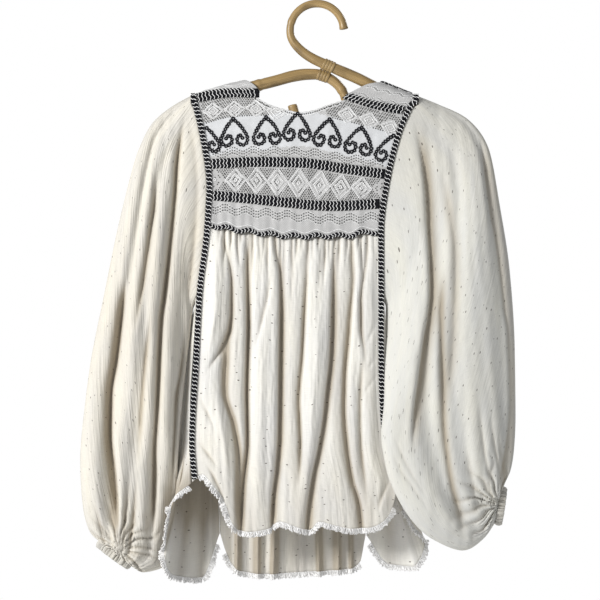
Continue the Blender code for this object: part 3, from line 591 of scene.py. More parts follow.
def press_creases(points, creases, face, hollow, inside=1.0):
    """Moves cloth into its creases and paints shade along them: rows of (depth, left width, right width, path of (z,
    x)).
    """
    x, z = points[..., 0], points[..., 2]
    total, shade = np.zeros(x.shape), np.zeros(x.shape)
    for depth, left, right, path in creases:
        heights = [row[0] for row in path]
        top, low = max(heights), min(heights)
        fade = min(70.0, (top - low) * 0.42)
        away = x - curve(path)(z)
        width = np.where(away < 0, left, right)
        held = depth * PRESS * ease(z, low, low + fade) * ease(-z, -top, -top + fade)
        total += held * np.exp(-(np.sqrt(away**2 + 0.7) - 0.84) / width)
        # Painted shade: each crease's middle is marked darker, more for deeper creases.
        shade += held * np.exp(-((away / (0.75 * width + 0.6)) ** 2))
    points[..., 1] -= FACING[face] * total * inside
    hollow += np.clip(shade * inside / 7.6, 0, 1) ** 1.15


def gathers(seed, x_from, x_to, z_at, count, depth, reach):
    """Short creases that fan down from a gathered seam."""
    random = np.random.default_rng(seed)
    made = []
    for i in range(count):
        x = mix(x_from, x_to, (i + random.uniform(0.2, 0.8)) / count)
        z = float(z_at(x)) + 4
        length = reach * random.uniform(0.35, 1.3)
        drift = random.normal(0, 3.0)
        made.append((depth * random.uniform(0.5, 1.3), random.uniform(1.2, 2.6), random.uniform(1.2, 2.6),
                     [(z + 20 + 0.4 * length, x), (z - 0.3 * length, x), (z - length, x + drift)]))
    return made


# %% [markdown]
# A sheet of cloth is made from a grid of points, rows down and columns across. Its UV map holds the flat
# cloth: how far each point is from the top and from the left edge, measured along the cloth. Solidify
# gives it the thickness of gauze. The same grid tells how large the cloth was cut.

# %% Sheets
GAUZE_THICK = 0.7
measured = {}


def link(name, mesh):
    obj = bpy.data.objects.new(name, mesh)
    bpy.context.scene.collection.objects.link(obj)
    return obj


def sheet(name, grid, materials, thickness=GAUZE_THICK, around=False, hollow=None, zones=None,
          rounded_hem=False):
    grid = np.asarray(grid, float)
    rows, columns = grid.shape[:2]
    closed = np.concatenate([grid, grid[:, :1]], axis=1) if around else grid
    widths = np.linalg.norm(np.diff(closed, axis=1), axis=2)
    lengths = np.linalg.norm(np.diff(grid, axis=0), axis=2)
    widest = widths.sum(axis=1).max()
    cut_wide = widths.sum(axis=1)[int(0.8 * rows)] if rounded_hem else widest
    down = np.concatenate([np.zeros((1, columns)), np.cumsum(lengths, axis=0)])
    i, j = np.meshgrid(np.arange(rows - 1), np.arange(closed.shape[1] - 1), indexing="ij")
    corners_i = np.stack([i, i, i + 1, i + 1], axis=-1).reshape(-1)
    corners_j = np.stack([j, j + 1, j + 1, j], axis=-1).reshape(-1)
    faces = (corners_i * columns + corners_j % columns).reshape(-1, 4)
    mesh = bpy.data.meshes.new(name)
    mesh.from_pydata((grid.reshape(-1, 3) * MM).tolist(), [], faces.tolist())
    uv = np.stack([corners_j * widest / (closed.shape[1] - 1), -down[corners_i, corners_j % columns]], axis=1)
    mesh.uv_layers.new(name="cut").data.foreach_set("uv", (uv * MM).astype(np.float32).ravel())
    # The painted shade, 0 to 1 at each point, is stored for the gauze finishes to darken by.
    if hollow is not None:
        layer = mesh.attributes.new("hollow", "FLOAT", "POINT")
        layer.data.foreach_set("value", np.clip(hollow, 0, 1).astype(np.float32).ravel())
    for material in materials if isinstance(materials, (list, tuple)) else [materials]:
        mesh.materials.append(material)
    if zones is not None:
        mesh.polygons.foreach_set("material_index", zones[:-1, :-1].astype(np.int32).ravel())
    mesh.shade_smooth()
    obj = link(name, mesh)
    wall = obj.modifiers.new("Wall", "SOLIDIFY")
    wall.thickness = thickness * MM
    wall.offset = 0.0
    diagonals = closed[1:, 1:] - closed[:-1, :-1], closed[1:, :-1] - closed[:-1, 1:]
    area = 0.5 * np.linalg.norm(np.cross(*diagonals), axis=2)
    longest = float(lengths.sum(axis=0).max())
    measured[name] = (round(cut_wide * MM, 3), round(longest * MM, 3), float(area.sum()) * MM**2)
    print(name, "cut", measured[name], "faces", len(faces))
    return obj


# %% [markdown]
# Three Geometry Nodes trees make everything that repeats. The first turns edges into cord, for lace cords,
# braid threads and fringe loops. The second sets small rings on points, for the stitched scrolls. The third
# sets little dark plugs on points, painted shade that stands in for the shadowed holes of the lace's eyelets.

# %% Node trees
def new_tree(name, inputs):
    tree = bpy.data.node_groups.new(name, "GeometryNodeTree")
    tree.interface.new_socket("Geometry", in_out="INPUT", socket_type="NodeSocketGeometry")
    for label, kind, value in inputs:
        socket = tree.interface.new_socket(label, in_out="INPUT", socket_type=kind)
        if value is not None:
            socket.default_value = value
    tree.interface.new_socket("Geometry", in_out="OUTPUT", socket_type="NodeSocketGeometry")
    return tree, tree.nodes.new("NodeGroupInput"), tree.nodes.new("NodeGroupOutput")


def finish_tree(tree, given, made, geometry):
    smooth = node(tree, "GeometryNodeSetShadeSmooth", None, {"Geometry": geometry})
    real = node(tree, "GeometryNodeRealizeInstances", None, {"Geometry": smooth.outputs["Geometry"]})
    coat = node(tree, "GeometryNodeSetMaterial", None,
                {"Geometry": real.outputs["Geometry"], "Material": given.outputs["Material"]})
    tree.links.new(coat.outputs["Geometry"], made.inputs["Geometry"])
    return tree


def cord_tree():
    tree, given, made = new_tree("cord on edges", [
        ("Radius", "NodeSocketFloat", 0.0005), ("Sides", "NodeSocketInt", 5),
        ("Material", "NodeSocketMaterial", None),
    ])
    path = node(tree, "GeometryNodeMeshToCurve", None, {"Mesh": given.outputs["Geometry"]})
    ring = node(tree, "GeometryNodeCurvePrimitiveCircle", {"mode": "RADIUS"},
                {"Resolution": given.outputs["Sides"], "Radius": given.outputs["Radius"]})
    tube = node(tree, "GeometryNodeCurveToMesh", None,
                {"Curve": path.outputs["Curve"], "Profile Curve": ring.outputs["Curve"], "Fill Caps": True})
    return finish_tree(tree, given, made, tube.outputs["Mesh"])


def set_on_points(name, shape):
    """A tree that stands a small shape, facing the front, on every vertex."""
    tree, given, made = new_tree(name, [
        ("Size", "NodeSocketFloat", 0.001), ("Thread", "NodeSocketFloat", 0.0005),
        ("Seed", "NodeSocketInt", 4),
        ("Material", "NodeSocketMaterial", None),
    ])
    vary = node(tree, "FunctionNodeRandomValue", {"data_type": "FLOAT"}, {"Seed": given.outputs["Seed"]})
    vary.inputs[2].default_value = 0.90
    vary.inputs[3].default_value = 1.10
    placed = node(tree, "GeometryNodeInstanceOnPoints", None, {
        "Points": given.outputs["Geometry"], "Instance": shape(tree, given),
        "Rotation": (math.pi / 2, 0, 0), "Scale": vary.outputs[1],
    })
    return finish_tree(tree, given, made, placed.outputs["Instances"])


def ring_shape(tree, given):
    path = node(tree, "GeometryNodeCurvePrimitiveCircle", {"mode": "RADIUS"},
                {"Resolution": 10, "Radius": given.outputs["Size"]})
    thread = node(tree, "GeometryNodeCurvePrimitiveCircle", {"mode": "RADIUS"},
                  {"Resolution": 4, "Radius": given.outputs["Thread"]})
    return node(tree, "GeometryNodeCurveToMesh", None,
                {"Curve": path.outputs["Curve"], "Profile Curve": thread.outputs["Curve"]}).outputs["Mesh"]


def plug_shape(tree, given):
    return node(tree, "GeometryNodeMeshCylinder", {"fill_type": "NGON"}, {
        "Vertices": 6, "Radius": given.outputs["Size"], "Depth": given.outputs["Thread"],
    }).outputs["Mesh"]


CORDS = cord_tree()
RINGS = set_on_points("stitched rings", ring_shape)
# The eyelet plugs are painted shade for the lace's holes.
EYELET_SHADOWS = set_on_points("eyelets", plug_shape)


def run_tree(name, source, tree, values):
    """Runs a tree on a mesh and keeps the result as a plain object."""
    obj = link(name + "_source", source)
    modifier = obj.modifiers.new("Tree", "NODES")
    modifier.node_group = tree
    for item in tree.interface.items_tree:
        if item.item_type == "SOCKET" and item.in_out == "INPUT" and item.name in values:
            modifier[item.identifier] = values[item.name]
    graph = bpy.context.evaluated_depsgraph_get()
    result = bpy.data.meshes.new_from_object(obj.evaluated_get(graph))
    bpy.data.objects.remove(obj)
    result.name = name
    print(name, "triangles", sum(len(face.vertices) - 2 for face in result.polygons))
    return link(name, result)


def cords(name, lines, radius, material, sides=5):
    """Cord along polylines: lines are arrays of points in mm, or pairs of (points, True) for closed loops."""
    vertices, edges = [], []
    for line in lines:
        points, closed = line if isinstance(line, tuple) else (line, False)
        first = len(vertices)
        vertices += (np.asarray(points) * MM).tolist()
        edges += [(first + i, first + i + 1) for i in range(len(points) - 1)]
        if closed:
            edges.append((len(vertices) - 1, first))
    mesh = bpy.data.meshes.new(name)
    mesh.from_pydata(vertices, edges, [])
    return run_tree(name, mesh, CORDS, {"Radius": radius * MM, "Sides": sides, "Material": material})


def on_points(name, tree, points, size, thread, material):
    mesh = bpy.data.meshes.new(name)
    mesh.from_pydata((np.asarray(points) * MM).tolist(), [], [])
    return run_tree(name, mesh, tree, {"Size": size * MM, "Thread": thread * MM, "Material": material})


# %% [markdown]
# The canes are steamed and bent, so their thickness wanders and each old leaf joint leaves a low ring. A tube
# is lofted along a smooth path: every ring of points is turned with the path, and the radius swells at joints.

# %% Canes
HOOK_RADIUS, CURL_CENTRE, CURL_RADIUS, CURL_END = 35.2, (3.0, -123.4), 35.2, -172.0
HOOK_TO_RIGHT_ARM = [
    (-34.6, 0.0, -37.0, 5.2), (-30.6, -0.3, -45.5, 5.7), (-23.1, -1.0, -54.5, 6.1), (-13.8, -2.4, -62.3, 6.3),
    (-4.0, -4.2, -68.4, 6.4), (7.0, -5.2, -73.6, 6.4), (17.3, -5.2, -77.9, 6.5), (27.4, -3.8, -82.2, 7.0),
    (39.5, -1.6, -87.2, 7.4), (53.0, 0.0, -93.0, 7.4), (76.0, 0.0, -104.5, 7.3), (130.0, -0.5, -129.5, 7.1),
    (160.0, -1.0, -145.0, 6.8), (182.0, -1.5, -157.5, 6.5),
]
LEFT_ARM_TO_CURL = [
    (-184.0, 0.0, -145.5, 6.6), (-161.0, 0.0, -129.5, 6.9), (-110.0, 0.0, -111.0, 7.2),
    (-74.0, 0.0, -101.5, 7.4), (-53.3, 0.8, -96.1, 7.4), (-30.0, 2.6, -89.6, 7.4),
    (-13.4, 4.2, -87.2, 7.2), (0.5, 5.4, -87.0, 6.9), (13.5, 5.6, -91.0, 6.6),
    (23.8, 5.0, -97.5, 6.4), (31.7, 3.8, -106.3, 6.2), (36.6, 3.4, -115.6, 6.2),
]


def arc_rows(centre_x, centre_z, radius, degrees, y, cane):
    turns = np.radians(degrees)
    return [(centre_x + radius * math.cos(t), y, centre_z + radius * math.sin(t), cane) for t in turns]


def even_path(rows, spacing):
    """Points evenly spaced along rows of x, y, z, radius."""
    rows = np.array(rows, float)
    steps = np.concatenate([[0], np.cumsum(np.linalg.norm(np.diff(rows[:, :3], axis=0), axis=1))])
    places = np.linspace(0, steps[-1], round(steps[-1] / spacing) + 1)
    return np.stack([smooth_between(steps, rows)(place) for place in places])


def relax(path, rounds):
    """Evens out small kinks in a bent path and keeps its ends."""
    for _ in range(rounds):
        path[1:-1] = 0.25 * path[:-2] + 0.5 * path[1:-1] + 0.25 * path[2:]
    return path


JOINT_LONG, JOINT_RISE, JOINT_DIP = 2.6, 0.075, 0.05


def cane(name, rows, joints, spacing=2.0, sides=28):
    path = relax(even_path(rows, spacing), 6)
    along = np.arange(len(path)) * spacing
    radius = path[:, 3] * (1 + 0.02 * np.sin(along / 23) + 0.012 * np.sin(along / 9 + 1))
    for joint in joints:
        gap = (along - joint) / JOINT_LONG
        dip = JOINT_DIP * np.exp(-((gap - 1.7) * 1.6) ** 2)
        radius = radius * (1 + JOINT_RISE * np.exp(-gap**2) - dip)
    ways = np.gradient(path[:, :3], axis=0)
    ways /= np.linalg.norm(ways, axis=1)[:, None]
    side = np.cross(ways, (0, 1, 0))
    side /= np.linalg.norm(side, axis=1)[:, None]
    front = np.cross(side, ways)
    turns = np.linspace(0, 2 * math.pi, sides, endpoint=False)
    rings = [(centre, radius[index], index) for index, centre in enumerate(path[:, :3])]
    last = len(path) - 1
    start = [(path[0, :3] - ways[0] * 1.2, radius[0] * 0.62, 0),
             (path[0, :3] - ways[0] * 0.8, radius[0] * 0.9, 0)]
    end = [(path[last, :3] + ways[last] * 0.8, radius[last] * 0.9, last),
           (path[last, :3] + ways[last] * 1.2, radius[last] * 0.62, last)]
    rings = start + rings + end
    vertices, uvs = [], []
    for centre, size, index in rings:
        lumps = 1 + 0.015 * np.sin(3 * turns + index * 0.05)
        out_ways = np.cos(turns)[:, None] * side[index] + np.sin(turns)[:, None] * front[index]
        vertices += (centre + (size * lumps)[:, None] * out_ways).tolist()
    girth = 2 * math.pi * float(radius.mean())
    faces = []
    for i in range(len(rings) - 1):
        for j in range(sides):
            k = (j + 1) % sides
            faces.append((i * sides + j, i * sides + k, (i + 1) * sides + k, (i + 1) * sides + j))
            for row, column in ((i, j), (i, j + 1), (i + 1, j + 1), (i + 1, j)):
                uvs.append((column * girth / sides, row * spacing))
    for centre_ring, first in ((0, 0), (len(rings) - 1, (len(rings) - 1) * sides)):
        vertices.append(np.mean(vertices[first : first + sides], axis=0).tolist())
        pole = len(vertices) - 1
        for j in range(sides):
            k = (j + 1) % sides
            pair = (first + k, first + j) if centre_ring == 0 else (first + j, first + k)
            faces.append((*pair, pole))
            uvs += [(j * girth / sides, centre_ring * spacing)] * 3
    mesh = bpy.data.meshes.new(name)
    mesh.from_pydata((np.array(vertices) * MM).tolist(), [], faces)
    mesh.uv_layers.new(name="cut").data.foreach_set("uv", (np.array(uvs) * MM).astype(np.float32).ravel())
    mesh.materials.append(cane_skin)
    mesh.shade_smooth()
    outward(mesh)
    print(name, round(float(along[-1])), "mm long")
    return link(name, mesh), path


def outward(mesh):
    work = bmesh.new()
    work.from_mesh(mesh)
    bmesh.ops.recalc_face_normals(work, faces=work.faces)
    work.to_mesh(mesh)
    work.free()


hook_arc = arc_rows(0, -(HOOK_RADIUS - 4.9), HOOK_RADIUS, np.linspace(4, 184, 21), 0.0, 5.0)
hook_rows = hook_arc + HOOK_TO_RIGHT_ARM
hook_rows[0] = (*hook_rows[0][:3], 5.8)
curl_arc = arc_rows(*CURL_CENTRE, CURL_RADIUS, np.linspace(0, CURL_END, 19), 3.4, 6.2)
curl_rows = LEFT_ARM_TO_CURL + curl_arc
cane_right, right_path = cane("bent_cane_right", hook_rows, (96, 262))
cane_left, left_path = cane("bent_cane_left", curl_rows, (118, 236))

# %% [markdown]
# Strips of split cane lash the two canes where they cross. Each lashing is a spiral curve with a round
# profile pressed flat, nearly four turns side by side, made by a small tree and then stood on its cane.

# %% Lashings
FLATTENED = (0.36, 1.0, 1.0)
STRIP_APART = 1.92


def lashing_tree():
    tree, given, made = new_tree("lashing", [
        ("Turns", "NodeSocketFloat", 4.0), ("Radius", "NodeSocketFloat", 0.008),
        ("Strip", "NodeSocketFloat", 0.001), ("Width", "NodeSocketFloat", 0.01),
        ("Material", "NodeSocketMaterial", None),
    ])
    spiral = node(tree, "GeometryNodeCurveSpiral", None, {
        "Resolution": 26, "Rotations": given.outputs["Turns"], "Start Radius": given.outputs["Radius"],
        "End Radius": given.outputs["Radius"], "Height": given.outputs["Width"],
    })
    upright = node(tree, "GeometryNodeSetCurveNormal", {"mode": "Z_UP"}, {"Curve": spiral.outputs["Curve"]})
    circle = node(tree, "GeometryNodeCurvePrimitiveCircle", {"mode": "RADIUS"},
                  {"Resolution": 10, "Radius": given.outputs["Strip"]})
    strip = node(tree, "GeometryNodeTransform", None,
                 {"Geometry": circle.outputs["Curve"], "Scale": FLATTENED})
    tube = node(tree, "GeometryNodeCurveToMesh", None,
                {"Curve": upright.outputs["Curve"], "Profile Curve": strip.outputs["Geometry"],
                 "Fill Caps": True})
    return finish_tree(tree, given, made, tube.outputs["Mesh"])


LASHING = lashing_tree()


def lashing(name, path, middle_x, turns=3.7, strip=2.0):
    near = np.where((path[:, 2] > -100) & (path[:, 2] < -60))[0]
    i = near[np.argmin(abs(path[near, 0] - middle_x))]
    way = Vector(path[i + 2, :3] - path[i - 2, :3]).normalized()
    width = turns * strip * STRIP_APART
    blank = bpy.data.meshes.new(name)
    obj = run_tree(name, blank, LASHING, {
        "Turns": turns, "Radius": (path[i, 3] + strip * 0.3) * MM, "Strip": strip * MM,
        "Width": width * MM, "Material": split_cane,
    })
    stand = Matrix.Translation(Vector(path[i, :3]) * MM) @ way.to_track_quat("Z", "Y").to_matrix().to_4x4()
    obj.data.transform(stand @ Matrix.Translation((0, 0, -width * MM / 2)))
    layer = obj.data.uv_layers.new(name="cut")
    co = np.array([obj.data.vertices[loop.vertex_index].co[:] for loop in obj.data.loops])
    layer.data.foreach_set("uv", np.stack([co[:, 0], co[:, 2]], axis=1).astype(np.float32).ravel())
    return obj


lashing_upper = lashing("lashing_upper", right_path, 15.5)
lashing_lower = lashing("lashing_lower", left_path, 9.0)

# %% [markdown]
# The shoulders are lace straps laid over the canes. A strap follows a small cylinder over the ridge and
# then falls straight, so one function serves the strap, its braids and the lace on it. along counts from the
# ridge, down the front when positive and down the back when negative, and lift stands a piece off the cloth.

# %% Straps
STRAPS = {
    "left": {
        "height": ridge_left,
        "front": curve([(0, 12), (0.5, 17.5), (1, 28)]), "back": curve([(0, -28), (1, -28)]),
        "outer": curve([(-60, -157), (-15, -162), (0, -164), (15, -164), (60, -155)]),
        "neck": curve([(-60, -76), (-28, -86), (-15, -94), (0, -96), (8, -90), (16, -81), (25, -74)]),
    },
    "right": {
        "height": ridge_right, "front": curve([(0, 31), (0.3, 36), (0.7, 43), (1, 47)]),
        "back": curve([(0, -9), (1, -5)]),
        "outer": curve([(-60, 125), (-15, 131), (0, 133), (21, 123), (31, 120), (60, 111)]),
        "neck": curve([(-60, 64), (-20, 84), (0, 86), (20, 63), (39, 44), (50, 34), (60, 26)]),
    },
}


def strap_at(side, across, along, lift=0.0):
    """Points on a strap: across is 0 at the armhole and 1 at the neck."""
    strap = STRAPS[side]
    across, along = np.broadcast_arrays(np.asarray(across, float), np.asarray(along, float))
    x = mix(strap["outer"](along), strap["neck"](along), across)
    middle = strap["height"](x)
    radius = DEPTH["front"](middle)
    quarter = radius * math.pi / 2
    facing = np.where(along > 0, -1.0, 1.0)
    reach = abs(along)
    angle = np.minimum(reach / radius, math.pi / 2)
    below = np.maximum(reach - quarter, 0.0)
    z = middle + (radius + lift) * np.cos(angle) - below
    stand_off = np.where(facing < 0, DEPTH["front"](z), DEPTH["back"](z))
    out = np.where(reach < quarter, radius, np.maximum(stand_off, radius))
    return np.stack([x, facing * (out + lift) * np.sin(angle), z], axis=-1)


def strap_sheet(side):
    strap = STRAPS[side]
    across = np.linspace(0.004, 0.996, 60)[None, :]
    down = np.linspace(0, 1, 44)[:, None]
    along = mix(strap["front"](across) - 0.4, strap["back"](across) + 0.4, down)
    grid = strap_at(side, across + 0 * down, along, 0.0)
    grid[..., 2] += 0.35 * crumple(grid[..., 0], grid[..., 1], 5, 14.0)
    return sheet("lace_strap_" + side, grid, lace_ground, 1.0)


strap_left, strap_right = strap_sheet("left"), strap_sheet("right")

# %% [markdown]
# The yoke hangs nearly flat between the armhole seams, from the neckline to the gathers, with soft upright
# ripples that grow towards the gathers. Everything sewn on it asks the same function where the cloth is.

# %% Yoke surfaces
def strap_seam_height(side, end, share):
    across = share / 0.27 if side == "left" else (1 - share) / 0.32
    across = np.clip(across, 0.0, 1.0)
    return strap_at(side, across, STRAPS[side][end](across))[..., 2]


def yoke_top(face, share):
    neck = curve(FRONT_NECK if face == "front" else BACK_NECK)(share)
    left = strap_seam_height("left", face, share) - 1.0
    right = strap_seam_height("right", face, share) - (1.0 if face == "front" else 12.0)
    if face == "back":
        right = np.minimum(right, -115.0)
    return np.where(share < 0.27, left, np.where(share > 0.68, right, neck))


def yoke_bottom(face, share):
    return curve(FRONT_YOKE_HEM if face == "front" else BACK_YOKE_HEM)(share)


def ripple(x, z):
    grown = 0.25 + 0.75 * ease(-z, 180, 300)
    return grown * 0.55 * crumple(x, z * 0.25, 31, 15.0, 0.1)


def on_yoke(face, x, z, lift=0.0):
    y = FACING[face] * (DEPTH[face](z) + ripple(x, z) + lift)
    return np.stack(np.broadcast_arrays(x, y, z), axis=-1)


# The stitched scrolls: middle x, height of the point, lean in degrees.
MOTIFS = {
    "front": [
        (-147.0, -156.0, 6), (-109.0, -146.5, 3), (-66.5, -144.5, 3), (-25.5, -139.5, -2), (16.0, -147.5, -7),
        (58.0, -157.5, -10), (99.5, -169.0, -13),
    ],
    "back": [
        (-128.0, -171.0, 3), (-86.0, -168.0, 1), (-44.0, -166.0, 0), (-2.0, -164.0, -2), (40.0, -162.0, -3),
        (80.0, -160.0, -4),
    ],
}
MOTIF_TALL = 36.5


SATIN_ABOVE, SATIN_BELOW = 4.5, 5


def satin_zone(face, x, z):
    """True where the scrolls' smooth ground lies."""
    tops = curve([(row[0], row[1]) for row in MOTIFS[face]])(x)
    return (z < tops + SATIN_ABOVE) & (z > tops - MOTIF_TALL - SATIN_BELOW)


def yoke_sheet(face):
    share = np.linspace(0, 1, 150)[None, :]
    down = np.linspace(0, 1, 84)[:, None]
    z = mix(yoke_top(face, share), yoke_bottom(face, share), down)
    x = across_at(face, share + 0 * down, z)
    grid = on_yoke(face, x, z)
    zones = satin_zone(face, x, z)
    return sheet("lace_yoke_" + face, grid, [lace_ground, satin_ground], 1.0, zones=zones)


yoke_front, yoke_back = yoke_sheet("front"), yoke_sheet("back")

# %% [markdown]
# The scrolls are chains of small black rings, each stitched round. A pointed arch comes down on both sides
# and curls inwards at the foot. The arch is a bent line and each curl is a spiral, walked in even steps, so
# that the rings touch like beads.

# %% Stitched scrolls
CURL_MIDDLE = (10.2, -27.6)
RING_STEP = 4.35


def scroll_half():
    """One half of an arch and its curl, from the point down, about the motif's top."""
    t = np.linspace(0, 1, 30)
    start, bend, end = np.array([0.0, 0.0]), np.array([11.5, -11.0]), np.array([17.2, -25.5])
    arch = ((1 - t) ** 2)[:, None] * start + (2 * t * (1 - t))[:, None] * bend + (t**2)[:, None] * end
    turn = np.radians(np.linspace(12, -245, 60))
    radius = np.linspace(7.3, 6.7, 60)
    curl = np.stack([CURL_MIDDLE[0] + radius * np.cos(turn),
                     CURL_MIDDLE[1] + radius * 1.06 * np.sin(turn)], axis=1)
    hook_end = np.array([[CURL_MIDDLE[0] + 0.8, CURL_MIDDLE[1] + 2.0]])
    return np.concatenate([arch, curl, hook_end])


def walk(points, step):
    lengths = np.concatenate([[0], np.cumsum(np.linalg.norm(np.diff(points, axis=0), axis=1))])
    places = np.arange(0, lengths[-1] + step * 0.4, step)
    return np.stack([np.interp(places, lengths, points[:, axis]) for axis in range(points.shape[1])], axis=1)


def scroll_points(face):
    random = np.random.default_rng(12)
    half = walk(scroll_half(), RING_STEP)
    points = []
    for middle, top, lean in MOTIFS[face]:
        turn = math.radians(lean)
        for sign in (-1, 1):
            for u, v in half if sign > 0 else half[1:]:
                u = sign * u + random.normal(0, 0.22)
                v = v + random.normal(0, 0.22)
                x = middle + u * math.cos(turn) - v * math.sin(turn)
                z = top + u * math.sin(turn) + v * math.cos(turn)
                left, right = SEAMS[face][0](z) + 5.0, SEAMS[face][1](z) - 5.0
                if left < x < right:
                    points.append(on_yoke(face, x, z, 0.95))
    return np.array(points)


scrolls_front = on_points("scrolls_front", RINGS, scroll_points("front"), 1.72, 1.0, black_thread)
scrolls_back = on_points("scrolls_back", RINGS, scroll_points("back"), 1.72, 1.0, black_thread)

# %% [markdown]
# The lace patterns are bands of diamonds, net triangles between them, and wavy rows of eyelets. Cords stand
# proud of the net, so each diamond is three closed cords, one inside the other. Eyelets fill the triangles.

# %% Lace patterns
def diamond(face, x, z, half_wide, half_tall, lean=0.0, steps=6):
    corners = [(half_wide, 0), (0, half_tall), (-half_wide, 0), (0, -half_tall)]
    points = []
    for (u0, v0), (u1, v1) in zip(corners, corners[1:] + corners[:1]):
        for t in np.arange(steps) / steps:
            u, v = mix(u0, u1, t), mix(v0, v1, t)
            points.append(on_yoke(face, x + u * math.cos(lean) - v * math.sin(lean),
                                  z + u * math.sin(lean) + v * math.cos(lean), 0.75))
    return np.array(points), True


def inside_yoke(face, x, z, margin=5.0):
    return SEAMS[face][0](z) + margin < x < SEAMS[face][1](z) - margin


DIAMOND_PITCH = 27.3


def diamond_band(face, upper, lower):
    """Diamonds between two braids, with their net."""
    lines, holes, bold = [], [], []
    edge = STRIPE_BRAID / 2
    count = 9
    for i in range(count):
        x = -134.0 + 1.0 + i * DIAMOND_PITCH
        share = float(share_of(face, x, -230.0))
        top, low = upper(share) - edge - 1.2, lower(share) + edge + 1.2
        z, half = (top + low) / 2, (top - low) / 2
        lean = math.atan2(float(upper(share + 0.05) - upper(share - 0.05)), 23.0)
        for scale, group in ((1.0, bold), (0.86, lines), (0.56, bold), (0.42, lines), (0.14, bold)):
            if inside_yoke(face, x - 13 * scale, z) and inside_yoke(face, x + 13 * scale, z, 3.0):
                group.append(diamond(face, x, z, (DIAMOND_PITCH / 2) * scale, half * scale, lean))
        for u in np.arange(-DIAMOND_PITCH / 2, DIAMOND_PITCH / 2, 3.1):
            for row, v in enumerate(np.arange(-half, half, 2.3)):
                shift = 1.55 if row % 2 else 0.0
                away = abs(u + shift) / (DIAMOND_PITCH / 2) + abs(v) / half
                ring = abs(away - 0.71) < 0.07 or abs(away - 0.28) < 0.07
                if (1.10 < away or ring) and inside_yoke(face, x + u + shift, z + v):
                    holes.append(on_yoke(face, x + u + shift, z + v + (u + shift) * math.tan(lean), 0.42))
    return lines, bold, holes


def wavy_rows(face, middle, offsets, wave, tall, phase, step):
    """Rows of eyelets and cords that rise and fall together."""
    lines, holes = [], []
    left, right = float(SEAMS[face][0](-230.0)) + 5, float(SEAMS[face][1](-230.0)) - 5
    xs = np.arange(left, right, step)
    for row, offset in enumerate(offsets):
        z = middle(share_of(face, xs, -230.0)) + offset + tall * np.cos(2 * math.pi * xs / wave + phase)
        points = on_yoke(face, xs, z, 0.42 if row % 2 else 0.72)
        if row % 2:
            holes += list(points)
        else:
            jog = 0.8 * (-1.0) ** np.arange(len(xs))
            points[:, 2] += jog
            lines.append(points)
    return lines, holes


DIAMOND_WIDE, DIAMOND_TALL = 13.0, 10.5


def upper_diamonds(face):
    """The larger diamonds on both sides of the neck."""
    lines, bold, holes = [], [], []
    rows = [(-135, -136.5, 4), (-107, -134, 2), (-79, -133.5, -6), (-53, -138, -10),
            (40, -142, -14), (68, -149, -18), (96, -159, -22)]
    if face == "back":
        rows = [(-125, -152, 0), (-98, -152, -8), (60, -146, 4), (85, -142, 4)]
    for x, z, lean in rows:
        for scale, group in ((1.0, bold), (0.85, lines), (0.55, bold), (0.22, lines)):
            points, closed = diamond(face, x, z, DIAMOND_WIDE * scale, DIAMOND_TALL * scale, math.radians(lean))
            roof = yoke_top(face, share_of(face, points[:, 0], points[:, 2])) - 3.0
            points[:, 2] = np.minimum(points[:, 2], roof)
            group.append((points, closed))
    tops = curve([(row[0], row[1]) for row in MOTIFS[face]])
    for x in np.arange(-150, 112, 3.1):
        for row in range(19):
            shift = 1.55 if row % 2 else 0.0
            z = float(tops(x)) + 3.0 + row * 2.3
            roof = float(yoke_top(face, np.array(float(share_of(face, x, z))))) - 3.0
            if z > roof or not inside_yoke(face, x, z):
                continue
            apart = min(abs(x + shift - px) / DIAMOND_WIDE
                        + abs(z - pz - (x - px) * math.tan(math.radians(lean))) / DIAMOND_TALL
                        for px, pz, lean in rows)
            if 1.12 < apart < 2.4 or abs(apart - 0.70) < 0.08:
                holes.append(on_yoke(face, x + shift, z, 0.42))
    return lines, bold, holes


def lace_work(face):
    stripes = [curve(table) for table in (FRONT_STRIPES if face == "front" else BACK_STRIPES).values()]
    hem = curve(FRONT_YOKE_HEM if face == "front" else BACK_YOKE_HEM)
    lines, bold, holes = diamond_band(face, *stripes)
    more_lines, more_bold, more_holes = upper_diamonds(face)
    lines, bold, holes = lines + more_lines, bold + more_bold, holes + more_holes
    for middle, shift, phase in ((stripes[0], 13.5, 0.4), (stripes[1], -17.0, 2.6)):
        rows, dots = wavy_rows(face, lambda s, m=middle, d=shift: m(s) + d,
                               (5.6, 3.8, 2.0, 0.2, -1.6, -3.4, -5.2), 27.0, 2.8, phase, 3.1)
        lines += rows
        holes += dots
    border = np.linspace(0.03, 0.97, 260)
    z = hem(border) + 6.0 + 2.2 * np.cos(2 * math.pi * EDGE_SCALLOPS * border)
    bold.append(on_yoke(face, across_at(face, border, z), z, 0.6))
    neck = np.linspace(0.28, 0.67, 120)
    for drop in (0.9, 5.2):
        z = yoke_top(face, neck) - drop - 0.6 * np.cos(neck * 230)
        bold.append(on_yoke(face, across_at(face, neck, z), z, 0.5))
    neck = neck[1::3]
    z = yoke_top(face, neck) - 3.1
    holes += list(on_yoke(face, across_at(face, neck, z), z, 0.42))
    # The eyelets are dark plugs, painted shade for the holes.
    return [
        cords(f"lace_cords_{face}", lines, 0.36, white_thread, 4),
        cords(f"lace_bold_cords_{face}", bold, 0.56, white_thread, 5),
        on_points(f"lace_eyelets_{face}", EYELET_SHADOWS, holes, 1.0, 0.5, eyelet_shade),
    ]


lace_front, lace_back = lace_work("front"), lace_work("back")

# %% [markdown]
# Straps carry the same lace: two wavy cords and rows of eyelets from front to back.

